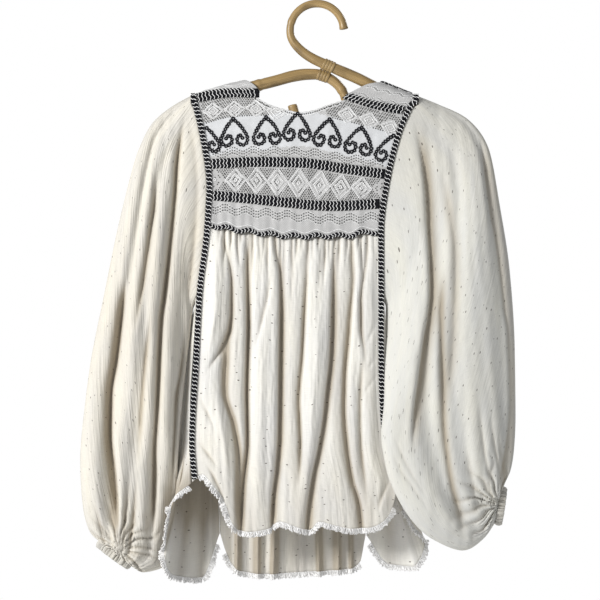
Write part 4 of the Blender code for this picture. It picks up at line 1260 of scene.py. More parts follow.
# %% Lace on the straps
def strap_lace(side):
    strap = STRAPS[side]
    lines, holes = [], []
    for share in (0.2, 0.5, 0.8):
        across = np.linspace(0.06, 0.94, 64)
        middle = mix(strap["front"](across), strap["back"](across), share) + 1.6 * np.cos(across * 26)
        lines.append(strap_at(side, across, middle + 1.6, 0.75))
        lines.append(strap_at(side, across, middle - 1.6, 0.75))
        if side == "right":
            holes += list(strap_at(side, across[::2], middle[::2], 0.42))
    made = [cords(f"strap_cords_{side}", lines, 0.36, white_thread, 4)]
    # The eyelets are dark plugs, painted shade for the holes.
    if holes:
        made.append(on_points(f"strap_eyelets_{side}", EYELET_SHADOWS, holes, 0.55, 0.5, eyelet_shade))
    return made


strap_lace_left, strap_lace_right = strap_lace("left"), strap_lace("right")

# %% [markdown]
# Gathered gauze hangs from the yoke. Where each crease starts, wanders and ends was chosen in the
# blouse's own millimetres: depth, how soft its left and right sides are, and a path of (height, x).

# %% Creases of the front
FRONT_CREASES = [
    (7.0, 2.2, 4.5, [(-270, -130), (-300, -124), (-328, -115), (-361, -111), (-393, -111), (-419, -113),
        (-445, -124), (-469, -139), (-490, -150)]),
    (8.0, 7.0, 5.0, [(-400, -112), (-450, -117), (-500, -119), (-545, -107), (-590, -101), (-640, -101),
        (-700, -102)]),
    (2.5, 4.0, 2.5, [(-490, -156), (-513, -150), (-534, -139), (-560, -127)]),
    (11.0, 3.0, 4.0, [(-262, -86), (-307, -88), (-339, -90), (-415, -89), (-458, -90), (-502, -91),
        (-567, -90), (-632, -96), (-720, -100)]),
    (3.2, 6.0, 1.8, [(-325, -58), (-339, -59), (-372, -63), (-404, -70), (-437, -78), (-465, -84)]),
    (9.5, 2.2, 6.5, [(-262, -60), (-311, -55), (-350, -48), (-393, -47), (-480, -48), (-556, -49),
        (-599, -52), (-643, -57), (-720, -60)]),
    (6.5, 5.0, 2.4, [(-262, -12), (-350, -13), (-383, -15), (-458, -19), (-513, -23), (-567, -21),
        (-640, -24)]),
    (8.5, 2.6, 7.0, [(-262, 24), (-328, 22), (-415, 20), (-458, 18), (-502, 13), (-545, 8), (-578, 2),
        (-610, -5), (-653, -11), (-730, -16)]),
    (7.0, 6.0, 2.2, [(-262, 46), (-328, 47), (-350, 48), (-383, 45), (-437, 41), (-480, 37), (-523, 36),
        (-567, 39), (-610, 45), (-653, 56), (-730, 62)]),
    (5.5, 2.2, 4.0, [(-262, 63), (-307, 63), (-339, 62), (-383, 57), (-415, 57), (-452, 62), (-476, 66)]),
    (4.5, 4.5, 2.2, [(-440, 66), (-460, 61), (-480, 58), (-523, 56), (-567, 57), (-599, 60), (-650, 66)]),
    (1.8, 2.0, 3.0, [(-398, 84), (-409, 79), (-437, 65), (-448, 60)]),
    (1.6, 2.0, 3.0, [(-440, 84), (-452, 80), (-470, 67), (-480, 62)]),
    (1.6, 2.0, 3.0, [(-466, 85), (-476, 80), (-502, 62), (-512, 57)]),
    (3.0, 4.0, 2.0, [(-596, 106), (-608, 100), (-621, 92), (-643, 82), (-660, 78)]),
    (3.0, 2.5, 2.5, [(-590, -146), (-601, -139), (-632, -124), (-650, -118)]),
    (2.5, 2.5, 2.5, [(-556, -158), (-570, -150), (-586, -138), (-604, -124)]),
    (3.0, 3.0, 3.0, [(-262, 5), (-310, 6), (-350, 4), (-380, 3)]),
    (2.4, 3.0, 3.0, [(-262, -36), (-320, -34), (-372, -33), (-410, -34)]),
    (-5.0, 12.0, 9.0, [(-280, -133), (-330, -131), (-380, -130), (-430, -136), (-470, -148)]),
    (-5.0, 12.0, 14.0, [(-480, -132), (-540, -124), (-600, -116), (-650, -112)]),
    (-3.5, 10.0, 10.0, [(-380, 2), (-450, 0), (-520, -6), (-600, -12), (-680, -20)]),
    (-3.0, 12.0, 12.0, [(-400, -70), (-500, -72), (-600, -76), (-690, -78)]),
    (-2.5, 10.0, 8.0, [(-300, 72), (-360, 70), (-420, 74), (-500, 74), (-580, 80)]),
]
BACK_CREASES = [
    (9.0, 3.0, 7.0, [(-262, -100), (-350, -104), (-480, -99), (-600, -104), (-800, -106)]),
    (8.0, 6.0, 3.0, [(-262, -72), (-400, -68), (-540, -76), (-800, -78)]),
    (10.0, 4.0, 8.0, [(-262, -40), (-350, -44), (-480, -50), (-620, -54), (-800, -60)]),
    (6.0, 3.0, 4.0, [(-262, -18), (-330, -16), (-430, -20), (-520, -22)]),
    (9.0, 3.0, 7.0, [(-262, 6), (-380, 2), (-500, -4), (-640, 0), (-800, 4)]),
    (8.0, 7.0, 3.0, [(-262, 34), (-400, 30), (-520, 26), (-800, 30)]),
    (7.0, 3.0, 5.0, [(-262, 56), (-360, 54), (-470, 46), (-600, 44), (-800, 46)]),
    (4.0, 3.0, 3.0, [(-420, -120), (-520, -116), (-660, -118)]),
]

# %% [markdown]
# Each panel is a grid, finer in front than behind. The cloth leaves the braid with a small puff, gathers
# press into it, and the long creases deepen towards the hem. The armhole edges stay where the braid holds them.

# %% Panels
PANELS = {
    "front": {"hem": FRONT_HEM, "creases": FRONT_CREASES, "push": 3.5, "rows": 160, "columns": 188,
              "gathers": 30},
    "back": {"hem": BACK_HEM, "creases": BACK_CREASES, "push": 3.5, "rows": 130, "columns": 150,
             "gathers": 26},
}


def panel_grid(face, columns, rows_down):
    panel = PANELS[face]
    share, down = columns[None, :], rows_down[:, None]
    top = yoke_bottom(face, share) - 1.0
    z = mix(top, curve(panel["hem"])(share), down)
    x = across_at(face, share + 0 * down, z)
    left, right = SEAMS[face]
    points = np.stack([x, FACING[face] * DEPTH[face](z), z], axis=-1)
    below = top - z
    inside = ease(share, 0.025, 0.10) * ease(1 - share, 0.025, 0.10)
    puff = 3.0 * ease(below, 0, 9) - 1.2 * ease(below, 16, 70)
    lobe = panel["push"] * ease(down, 0.0, 0.3) * (0.7 + 0.3 * down)
    points[..., 1] += FACING[face] * inside * (puff + lobe)
    hollow = np.zeros(x.shape)
    grown = inside * (0.35 + 0.65 * ease(below, 0, 130))
    press_creases(points, panel["creases"], face, hollow, grown)

    def seam_height(x_at):
        return yoke_bottom(face, np.clip(share_of(face, x_at, -300.0), 0, 1))

    fine = gathers(3 if face == "front" else 8, float(left(-300)) + 6, float(right(-300)) - 6, seam_height,
                   panel["gathers"], 3.0, 70.0)
    press_creases(points, fine, face, hollow, inside)
    points[..., 1] += FACING[face] * 0.5 * crumple(x, z * 0.22, 17, 13.0, 0.12) * inside
    points[..., 1] += FACING[face] * 0.28 * crumple(x, z * 0.5, 23, 6.0, 0.6) * inside
    edge_in = FACING[face] * 1.1 * (1 - ease(below, 0, 3.0))
    points[..., 1] -= edge_in
    return points, hollow


# Painted shade in upright bands across each panel: middle share, width, strength.
PAINTED_SHADE_BANDS = [(0.21, 0.05, 0.22), (0.51, 0.06, 0.16), (0.78, 0.055, 0.24), (0.93, 0.03, 0.14)]


def panel_sheet(face):
    panel = PANELS[face]
    columns = np.linspace(0.0, 1.0, panel["columns"])
    rows_down = np.linspace(0.0, 1.0, panel["rows"]) ** 1.12
    points, hollow = panel_grid(face, columns, rows_down)
    for middle, wide, amount in PAINTED_SHADE_BANDS:
        away = columns[None, :] - middle + 0.03 * np.sin(5.0 * rows_down[:, None])
        hollow = hollow + amount * np.exp(-((away / wide) ** 4)) * ease(rows_down, 0.04, 0.3)[:, None]
    # Painted shade: darker towards the hem, and the whole back panel a little darker.
    hollow = hollow + 0.22 * ease(rows_down, 0.55, 1.0)[:, None] + (0.12 if face == "back" else 0.0)
    return sheet("gauze_" + face, points, gauze, hollow=hollow)


gauze_front, gauze_back = panel_sheet("front"), panel_sheet("back")

# %% [markdown]
# Between the vents a side panel joins front to back under the arm and ends in a rounded tab. It is given
# as rings of seven points, front seam to back seam, from the underarm down to the hem.

# %% Side panels
SIDE_SHARES = (0.0, 0.14, 0.32, 0.5, 0.68, 0.84, 1.0)
LEFT_SIDE = [
    (0.0, [(-156.8, -18, -387), (-158, -14, -388), (-158.5, -7, -389), (-158, 0, -389),
           (-155, 7, -389), (-148, 13, -388), (-138, 17, -387)]),
    (0.1, [(-158.5, -20, -414), (-160.5, -16, -415), (-163, -7, -416), (-167, 2, -418),
           (-161, 11, -418), (-149, 16, -417), (-137.5, 18, -416)]),
    (0.2, [(-160.5, -22, -446), (-163, -17, -448), (-167, -5, -452), (-174, 6, -455),
           (-166, 14, -455), (-150, 18, -452), (-137, 20, -450)]),
    (0.5, [(-164.5, -26, -520), (-168, -20, -522), (-174, -6, -530), (-180, 7, -540),
           (-168, 16, -548), (-150, 21, -550), (-135, 24, -550)]),
    (0.72, [(-164.5, -27, -580), (-171, -22, -584), (-178, -10, -592), (-184, 7, -602),
            (-172, 16, -625), (-148, 21, -628), (-132, 25, -610)]),
    (0.86, [(-164, -28, -600), (-174, -28, -610), (-181, -24, -630), (-186, -16, -655),
            (-178, 4, -690), (-150, 18, -690), (-129.5, 26, -652)]),
    (1.0, [(-163, -29, -620), (-181, -33, -634), (-192, -35, -664), (-198, -31, -712),
           (-185, -13, -741), (-152, 14, -747), (-128, 27, -690)]),
]
RIGHT_SIDE = [
    (0.0, [(87.2, -18, -387), (87.4, -14, -388), (87.4, -7, -389), (88, 0, -389),
           (87.5, 7, -389), (85, 13, -388), (80, 17, -387)]),
    (0.3, [(86.8, -22, -465), (87.2, -17, -466), (88, -7, -468), (92, 4, -470),
           (90, 12, -470), (84, 17, -469), (76, 20.5, -468)]),
    (0.55, [(89, -25, -540), (91, -18, -545), (91.5, -6, -550), (92, 6, -552),
            (89, 15, -553), (85, 20, -553), (76, 23, -553)]),
    (1.0, [(105, -28, -622), (110, -20, -638), (122, 0, -672), (142, 14, -702),
           (126, 22, -733), (96, 26, -731), (65.5, 28, -693)]),
]
SIDES = {"left": LEFT_SIDE, "right": RIGHT_SIDE}
LOBE_FOLDS = {
    "left": [(0.20, 0.045, 5.0, 0.25), (0.46, 0.05, 6.0, -0.1), (0.62, 0.06, -5.0, 0.1), (0.72, 0.03, 4.0, 0.1),
             (0.84, 0.035, 4.5, -0.05), (0.93, 0.03, -3.0, 0.0)],
    "right": [(0.22, 0.05, 5.0, 0.2), (0.48, 0.05, 7.0, 0.2), (0.66, 0.045, -5.0, 0.0),
              (0.82, 0.05, 4.0, -0.1)],
}


UNDER_SLEEVE_RISE = 11.0


def side_grid(side, shares, downs):
    rings = SIDES[side]
    keys = np.array([ring[0] for ring in rings])
    places = np.array(SIDE_SHARES)
    points = np.array([[smooth_between(places, np.array(ring[1], float))(s) for s in shares] for ring in rings])
    across = smooth_between(keys, points)
    grid = np.stack([across(down) for down in downs])
    share, down = shares[None, :], downs[:, None]
    held = ease(share, 0.0, 0.12) * ease(1 - share, 0.0, 0.12) * ease(down, 0.02, 0.2)
    grid[..., 0] += held * 0.6 * crumple(share * 90, down * 60, 41, 16.0, 0.3)
    grid[..., 1] += held * 0.5 * crumple(share * 90, down * 60, 43, 13.0, 0.3)
    under_sleeve = (1 - ease(down, 0.0, 0.10)) * (ease(share, 0.72, 1.0) + ease(1 - share, 0.72, 1.0))
    grid[..., 2] += UNDER_SLEEVE_RISE * under_sleeve
    for middle, wide, deep, lean in LOBE_FOLDS[side]:
        fold = np.exp(-(((share - middle - lean * (down - 1)) / wide) ** 2)) * ease(down, 0.45, 0.85) * held
        grid[..., 1] += deep * fold
    return grid


def side_sheet(side):
    shares = np.linspace(0, 1, 84)
    grid = side_grid(side, shares, np.linspace(0, 1, 96))
    # Painted shade: both tabs darken towards brown near the top of the vent, the left one much more; the left tab's
    # back half is darker low down, and stripes along the folds are darker.
    top = {"left": -640.0, "right": -655.0}[side]
    hollow = {"left": 0.95, "right": 0.3}[side] * np.exp(-(((grid[..., 2] - top) / 46.0) ** 2))
    inner = ease(shares, 0.5, 0.7)[None, :] * ease(-grid[..., 2], 560.0, 600.0)
    hollow += {"left": 0.17, "right": 0.0}[side] * inner
    for middle, wide, deep, _ in LOBE_FOLDS[side]:
        hollow += 0.085 * deep * np.exp(-(((shares[None, :] - middle) / wide) ** 2)) * (deep > 0)
    # The right tab takes the lighter copy of the gauze, painted light.
    finish = gauze if side == "left" else gauze_side
    return sheet("gauze_side_" + side, grid, finish, hollow=hollow, rounded_hem=True)


side_left, side_right = side_sheet("left"), side_sheet("right")

# %% [markdown]
# The sleeves are long, full tubes. Each starts at the armhole and passes through flattened sections, given by
# an inner edge, an outer edge and how far front and back swell. The tube's rows run from the shoulder to the
# cuff, and its creases are laid on the front and back as on the panels.

# %% Sleeve tables
LEFT_SLEEVE = [
    # inner x, y, z, outer x, y, z, front, back
    (-162.5, -9, -402, -189, 0, -130, 16, 16), (-165, -11, -425, -214, 0, -151, 20, 20),
    (-170, -14, -468, -232, -2, -185, 25, 24), (-175, -20, -515, -254, -5, -265, 31, 30),
    (-180, -20, -575, -277, -8, -375, 37, 36), (-184, 16, -652, -297, -9, -480, 40, 34),
    (-190, 18, -702, -308, -9, -590, 40, 30), (-199, 12, -731, -304, -9, -655, 36, 24),
    (-226, -4, -737, -294, -8, -686, 24, 18), (-241, -8, -725, -283, -8, -694, 13, 13),
]
RIGHT_SLEEVE = [
    (89.5, -12, -405, 160, 0, -128, 16, 16), (89.5, -14, -430, 196, 0, -146, 20, 20),
    (88, -24, -470, 223, -4, -183, 25, 24), (86.5, -37, -515, 238, -12, -262, 30, 32),
    (82.5, -48, -556, 250, -18, -345, 27, 36), (89, -51, -600, 256, -22, -440, 26, 38),
    (112, -48, -652, 257, -24, -530, 27, 36), (146, -40, -689, 255, -25, -575, 26, 32),
    (188, -30, -706, 250, -26, -603, 22, 24), (214, -26, -692, 243, -26, -615, 18, 19),
    (229, -26, -672, 236, -26, -624, 13, 13),
]
FRONT_SWELL, BACK_SWELL, ARMHOLE_GAP = 0.75, 1.1, -0.6
# Broad folds that wander across the sleeve: place at top, middle and low, depth, half width.
BROAD_FOLDS = {
    "left": [(0.10, 0.06, 0.05, 5.0, 0.05), (0.42, 0.27, 0.16, 5.0, 0.055), (0.66, 0.50, 0.36, 4.0, 0.060),
             (0.84, 0.74, 0.62, 7.0, 0.065)],
    "right": [(0.48, 0.34, 0.30, 7.0, 0.070), (0.70, 0.55, 0.50, 4.5, 0.070), (0.93, 0.90, 0.88, 4.0, 0.050)],
    "back": [(0.35, 0.25, 0.25, 9.0, 0.070), (0.60, 0.50, 0.50, 10.0, 0.070), (0.82, 0.76, 0.74, 9.0, 0.060)],
}
SLEEVE_CREASES = {
    "left": [
        (8.0, 5.0, 5.0, [(-120, -170), (-160, -163), (-200, -157), (-240, -155), (-290, -157),
            (-340, -162), (-400, -168)]),
        (6.5, 3.0, 4.0, [(-128, -168), (-169, -177), (-201, -182), (-242, -185), (-282, -188),
            (-314, -191), (-376, -198), (-407, -202), (-532, -207), (-581, -211), (-700, -214)]),
        (4.0, 5.0, 3.5, [(-200, -208), (-221, -210), (-263, -212), (-293, -216), (-324, -220),
            (-355, -224), (-386, -229), (-430, -235)]),
        (11.0, 9.0, 2.6, [(-345, -246), (-396, -252), (-457, -259), (-507, -267), (-557, -268),
            (-606, -263), (-644, -260), (-700, -258)]),
        (3.5, 4.0, 4.0, [(-390, -213), (-407, -215), (-470, -222), (-544, -228), (-600, -231)]),
        (7.0, 1.8, 6.0, [(-405, -169), (-431, -172), (-448, -174), (-480, -178), (-509, -183),
            (-558, -185), (-597, -187), (-650, -190)]),
        (3.0, 3.0, 3.0, [(-600, -232), (-660, -238), (-735, -246)]),
        (2.5, 3.0, 3.0, [(-640, -288), (-680, -280), (-715, -272)]),
        (2.5, 3.0, 3.0, [(-600, -244), (-660, -248), (-720, -254)]),
    ],
    "right": [
        (9.0, 1.6, 13.0, [(-128, 122), (-159, 129), (-201, 137), (-242, 142), (-283, 144), (-324, 146),
            (-366, 147), (-407, 143), (-432, 138), (-481, 131), (-532, 124), (-590, 121)]),
        (7.5, 1.6, 40.0, [(-150, 208), (-177, 214), (-232, 220), (-273, 225), (-304, 231), (-334, 235),
            (-366, 239), (-396, 242), (-420, 246), (-507, 249), (-544, 247), (-581, 242), (-606, 237),
            (-640, 230)]),
        (7.5, 5.0, 7.0, [(-330, 166), (-400, 160), (-422, 160), (-532, 162), (-606, 170), (-652, 181),
            (-700, 190)]),
        (4.5, 9.0, 9.0, [(-200, 160), (-260, 171), (-331, 179), (-430, 176), (-530, 166)]),
        (2.0, 2.5, 3.5, [(-545, 96), (-571, 104), (-600, 118), (-640, 143)]),
        (1.8, 2.5, 3.5, [(-560, 92), (-590, 101), (-625, 124), (-660, 148)]),
        (3.0, 2.0, 3.0, [(-520, 222), (-558, 226), (-604, 235), (-650, 246)]),
        (3.0, 2.0, 2.5, [(-540, 232), (-570, 235), (-610, 241), (-650, 250)]),
        (2.5, 2.0, 2.5, [(-500, 206), (-560, 212), (-620, 222), (-680, 230)]),
        (2.2, 4.0, 3.0, [(-560, 190), (-610, 198), (-660, 208)]),
    ],
}


# %% [markdown]
# The armhole is one closed path: under the arm, up the front seam and over the shoulder, and down the back.
# Each half of the tube is a stack of stations, and a smooth curve through the stations gives every row.

# %% Sleeves
def armhole_half(side, face):
    left = side == "left"
    seam = SEAMS[face][0 if left else 1]
    front_seam = SEAMS["front"][0 if left else 1]
    height = ridge_left if left else ridge_right
    sign = -1 if left else 1
    facing = FACING[face]
    top_x = front_seam(-115) + sign * (HALF_SEAM + ARMHOLE_GAP)
    middle = height(top_x)
    radius = DEPTH[face](middle) + 0.3

    def beside(z):
        return seam(z) + sign * (HALF_SEAM + ARMHOLE_GAP + 1.2 * ease(-z, -UNDERARM - 50, -UNDERARM))

    path = [(front_seam(UNDERARM) + sign * (HALF_SEAM + 3.8), -6.0, UNDERARM - 1)]
    path.append((mix(path[0][0], beside(UNDERARM), 0.6), facing * 0.7 * DEPTH[face](UNDERARM), UNDERARM))
    for z in np.linspace(UNDERARM + 8, middle - 6, 14):
        path.append((beside(z), facing * max(DEPTH[face](z), radius), z))
    for turn in np.radians((0, 30, 60, 90)):
        path.append((top_x, facing * radius * math.cos(turn), middle + radius * math.sin(turn)))
    return np.array(path, float)


def on_path(path, shares):
    steps = np.concatenate([[0], np.cumsum(np.linalg.norm(np.diff(path, axis=0), axis=1))])
    return np.stack([np.interp(shares * steps[-1], steps, path[:, axis]) for axis in range(3)], axis=1)


def spread(shares):
    return 1 - (1 - shares) ** 1.8


def section(row, shares, face, gather):
    inner, outer, (front, back) = np.array(row[:3]), np.array(row[3:6]), row[6:]
    shares = mix(shares, spread(shares), gather)
    rise = 2 * np.sqrt(np.clip(shares * (1 - shares), 0, 1))
    power = FRONT_SWELL if face == "front" else np.where(shares < 0.5, BACK_SWELL, FRONT_SWELL)
    points = mix(inner, outer, shares[:, None])
    points[:, 1] += (-front if face == "front" else back) * rise**power
    return points


def sleeve_half(side, face, columns, rows):
    table = LEFT_SLEEVE if side == "left" else RIGHT_SLEEVE
    folds = BROAD_FOLDS[side if face == "front" else "back"]
    path = armhole_half(side, face)
    last = len(table)
    made = []
    for key in np.linspace(0, last, rows):
        down = key / last
        nodes = [(0.0, 0.0), (1.0, 1.0)]
        for top, middle, low, _, _ in folds:
            nodes.append((middle, float(curve([(0, top), (0.5, middle), (1, low)])(down))))
        shares = curve(nodes)(columns)
        stations = [on_path(path, spread(shares))]
        stations += [section(row, shares, face, 1 - ease(i, 0, 4)) for i, row in enumerate(table)]
        row = smooth_between(np.arange(last + 1.0), np.array(stations))(key)
        rise = 2 * np.sqrt(np.clip(columns * (1 - columns), 0, 1))
        deep = rise**0.7 * ease(down, 0.02, 0.3) * ease(1 - down, 0.04, 0.25)
        sunk = sum(depth * np.exp(-(((columns - middle) / half) ** 2)) for _, middle, _, depth, half in folds)
        row[:, 1] -= FACING[face] * deep * sunk
        made.append(row)
    return np.array(made)


def back_creases(side):
    """The hidden side of a sleeve falls in folds like those of its front."""
    turned = []
    for depth, left, right, path in SLEEVE_CREASES[side][:6]:
        moved = [(z - 12, x + (6 if side == "left" else -6)) for z, x in path]
        turned.append((depth * 0.8, right, left, moved))
    return turned


SLEEVE_PRESS = {"left": 1.42, "right": 0.72}
SLEEVE_ROWS, SLEEVE_COLUMNS = 158, 99


def sleeve_sheet(side):
    columns = 0.5 - 0.5 * np.cos(np.linspace(0, math.pi, SLEEVE_COLUMNS))
    columns = mix(columns, np.linspace(0, 1, SLEEVE_COLUMNS), 0.55)
    rows = SLEEVE_ROWS
    halves = {}
    for face in ("front", "back"):
        half = sleeve_half(side, face, columns, rows)
        hollow = np.zeros(half.shape[:2])
        rise = 2 * np.sqrt(np.clip(columns * (1 - columns), 0, 1))[None, :]
        down = np.linspace(0, 1, rows)[:, None]
        inside = rise**0.8 * ease(down, 0.0, 0.12) * (1 - 0.6 * ease(down, 0.9, 1.0))
        creases = SLEEVE_CREASES[side] if face == "front" else back_creases(side)
        press_creases(half, creases, face, hollow, SLEEVE_PRESS[side] * inside)
        cuff_fan(half, side, face, hollow, inside)
        x, z = half[..., 0].copy(), half[..., 2].copy()
        half[..., 1] += FACING[face] * inside * 0.6 * crumple(x, z * 0.3, 51, 17.0, 0.2)
        half[..., 1] += FACING[face] * inside * 0.3 * crumple(x, z * 0.8, 53, 7.0, 0.9)
        # Painted shade: the right sleeve is darker towards the shoulder, and the left sleeve darker about halfway
        # down.
        if side == "right":
            hollow += 0.16 * ease(z, -330.0, -150.0)
        else:
            hollow += 0.12 * np.exp(-(((z + 400.0) / 110.0) ** 2))
        halves[face] = (half, hollow)
    rings = np.concatenate([halves["front"][0], halves["back"][0][:, -2:0:-1]], axis=1)
    hollow = np.concatenate([halves["front"][1], halves["back"][1][:, -2:0:-1]], axis=1)
    gather_cuff(rings)
    centre = rings[-1].mean(axis=0)
    rings[-1] = centre + (rings[-1] - centre) * 0.97
    # The sleeves take the darker copies of the gauze, painted shade.
    return sheet("gauze_sleeve_" + side, rings, gauze_left if side == "left" else gauze_right,
                 around=True, hollow=hollow), rings[-1]


CUFF_FANS = {"left": (-256.0, -704.0), "right": (236.0, -646.0)}


def cuff_fan(half, side, face, hollow, inside):
    """Wrinkles that spread over the sleeve from its cuff like the ribs of a fan."""
    x, z = half[..., 0], half[..., 2]
    middle_x, middle_z = CUFF_FANS[side]
    turn = np.arctan2(z - middle_z, x - middle_x)
    away = np.hypot(x - middle_x, z - middle_z)
    wander = 0.9 * crumple(x, z, 71, 30.0, 1.5)
    ribs = (1 - np.abs(np.sin(8.5 * turn + wander))) ** 1.6
    short = (1 - np.abs(np.sin(14.5 * turn + 1.7 * wander + 1))) ** 2
    strength = 5.0 * np.exp(-(((away - 26) / 30) ** 2)) * ribs
    strength = strength + 3.0 * np.exp(-(((away - 18) / 22) ** 2)) * short
    half[..., 1] -= FACING[face] * strength * inside
    # Painted shade along the troughs of the fan wrinkles.
    hollow += np.clip(strength * inside / 9.0, 0, 0.8)


def gather_cuff(rings):
    """Small radiating pleats where the sleeve is gathered into its cuff."""
    rows, count = rings.shape[:2]
    turn = np.arange(count) / count * 2 * math.pi
    for i in range(rows):
        down = i / (rows - 1)
        amount = 2.3 * float(ease(down, 0.74, 0.97))
        if amount == 0:
            continue
        centre = rings[i].mean(axis=0)
        out = rings[i] - centre
        out /= np.linalg.norm(out, axis=1)[:, None]
        folds = np.abs(np.sin(9.5 * turn + 2.5 * down)) + 0.4 * np.sin(31 * turn + 1) - 0.6
        rings[i] += out * (amount * folds)[:, None]


sleeve_left, wrist_left = sleeve_sheet("left")
sleeve_right, wrist_right = sleeve_sheet("right")

# %% [markdown]
# A cuff is a narrow band that holds the gathers. It goes on from the sleeve's last ring, in the direction the
# wrist points, and keeps the ribbing of the pleats it is sewn to.

# %% Cuffs
CUFF_DEEP = 10.0


def cuff_sheet(side, ring):
    table = LEFT_SLEEVE if side == "left" else RIGHT_SLEEVE
    inner, outer = np.array(table[-1][:3], float), np.array(table[-1][3:6], float)
    across = (outer - inner) * (1, 0, 1)
    way = np.cross(across, (0, 1, 0))
    way /= np.linalg.norm(way)
    if way @ np.array([outer[0], 0, -400]) < 0:
        way = -way
    centre = ring.mean(axis=0)
    count = len(ring)
    turn = np.arange(count) / count * 2 * math.pi
    out = ring - centre
    rows = []
    for share in np.linspace(0, 1, 14):
        ribs = 0.97 + 0.05 * np.sin(11 * turn + share) * (1 - 0.5 * share) + 0.07 * math.sin(share * math.pi)
        rows.append(centre + out * ribs[:, None] + way * (1.0 + (CUFF_DEEP - 1) * share))
    # The cuff takes the darkest copy of the gauze, painted shade.
    return sheet("gauze_cuff_" + side, np.array(rows), gauze_cuff, 1.5, around=True)


cuff_left, cuff_right = cuff_sheet("left", wrist_left), cuff_sheet("right", wrist_right)

# %% [markdown]
# Braid is a flat black tape with a white thread that zigzags across it. A braid's place is a function of s,
# the distance along it, t across it and h off the cloth, so one pair of functions makes the tape and its
# threads wherever they run.

# %% Braid makers
TAPE_THICK = 0.9
THREAD_RADIUS = 0.44


def track(points, normals):
    """Turns a middle line and rough normals into a place function and a length."""
    steps = np.concatenate([[0], np.cumsum(np.linalg.norm(np.diff(points, axis=0), axis=1))])
    places = np.arange(0, steps[-1], 1.0)
    middle = np.stack([np.interp(places, steps, points[:, k]) for k in range(3)], axis=1)
    facing = np.stack([np.interp(places, steps, normals[:, k]) for k in range(3)], axis=1)
    ways = np.gradient(middle, axis=0)
    ways /= np.linalg.norm(ways, axis=1)[:, None]
    across = np.cross(facing, ways)
    across /= np.linalg.norm(across, axis=1)[:, None]
    out_ways = np.cross(ways, across)

    def at(s, t, h):
        s = np.clip(s, 0, places[-1])
        parts = [np.stack([np.interp(s, places, array[:, k]) for k in range(3)], axis=-1)
                 for array in (middle, across, out_ways)]
        return parts[0] + parts[1] * np.asarray(t)[..., None] + parts[2] * np.asarray(h)[..., None]

    return at, float(places[-1])


def braid(name, at, length, width, pitch, marks, lift, thread=THREAD_RADIUS):
    """A tape and its zigzag. marks are the thread's sideways steps in mm, evenly spaced across the tape."""
    rows = np.linspace(0, length, max(2, round(length / 1.6)))
    t = np.linspace(-0.5, 0.5, 7) * width
    sag = 0.25 * np.cos(np.linspace(-0.5, 0.5, 7) * math.pi)
    grid = at(rows[:, None] + 0 * t, t + 0 * rows[:, None], lift + sag + 0 * rows[:, None])
    tape = sheet("tape_" + name, grid, black_braid, TAPE_THICK)
    random = np.random.default_rng(len(name))
    lines = []
    t = np.linspace(-0.5, 0.5, len(marks)) * (width + 0.2)
    for s in np.arange(pitch * 0.4, length - pitch * 0.3, pitch):
        moved = s + np.array(marks) + random.normal(0, 0.12, len(marks)) + random.normal(0, 0.2)
        height = lift + TAPE_THICK / 2 + 0.30 + 0.2 * np.cos(np.linspace(-0.5, 0.5, len(marks)) * math.pi)
        lines.append(at(moved, t, height))
    return [tape, cords("zigzag_" + name, lines, thread, zigzag_thread, 5)]


WIDE_MARKS = (-0.9, 0.9, -0.9, 0.9, -0.9)
SEAM_MARKS = (-1.6, 0.2, -0.5, 1.4)
EDGE_MARKS = (-1.1, 1.1, -1.1)
ON_CLOTH = 1.15
STRIPE_PITCH, EDGE_PITCH = 4.9, 4.6

# %% [markdown]
# The braids run across the yoke, over each shoulder seam and, longest, down each armhole seam from the
# front vent, over the shoulder, to the back vent.

# %% Braids
braids = {}


def yoke_braid(name, face, table, width, pitch, marks, scallops=0.0, lift=ON_CLOTH):
    share = np.linspace(0.032, 0.968, 260)
    z = curve(table)(share) + scallops * np.cos(2 * math.pi * EDGE_SCALLOPS * share)
    points = on_yoke(face, across_at(face, share, z), z, 0.0)
    normals = np.tile((0.0, FACING[face], 0.0), (len(share), 1))
    at, length = track(points, normals)
    braids[name] = braid(name, at, length, width, pitch, marks, lift)


for face, stripes, hem in (("front", FRONT_STRIPES, FRONT_YOKE_HEM), ("back", BACK_STRIPES, BACK_YOKE_HEM)):
    for name, table in stripes.items():
        yoke_braid(name, face, table, STRIPE_BRAID, STRIPE_PITCH, WIDE_MARKS)
    yoke_braid(f"braid_{face}_edge", face, hem, EDGE_BRAID, EDGE_PITCH, EDGE_MARKS, EDGE_SCALLOP_DEEP, 2.0)


def shoulder_braid(name, side, end, start, forward=0.0):
    seam = STRAPS[side][end]
    across = np.linspace(start, 0.99, 40)
    middle = strap_at(side, across, seam(across))
    steps = np.concatenate([[0], np.cumsum(np.linalg.norm(np.diff(middle, axis=0), axis=1))])

    def at(s, t, h):
        place = np.interp(s, steps, across)
        return strap_at(side, place, seam(place) + forward - np.asarray(t), np.asarray(h))

    length = float(steps[-1])
    braids[name] = braid(name, at, length, STRIPE_BRAID, STRIPE_PITCH, WIDE_MARKS, ON_CLOTH + 0.3)


shoulder_braid("braid_front_shoulder_left", "left", "front", 0.10)
shoulder_braid("braid_front_shoulder_right", "right", "front", 0.10)
shoulder_braid("braid_back_shoulder_left", "left", "back", 0.10)
shoulder_braid("braid_back_shoulder_right", "right", "back", 0.18, 5.0)


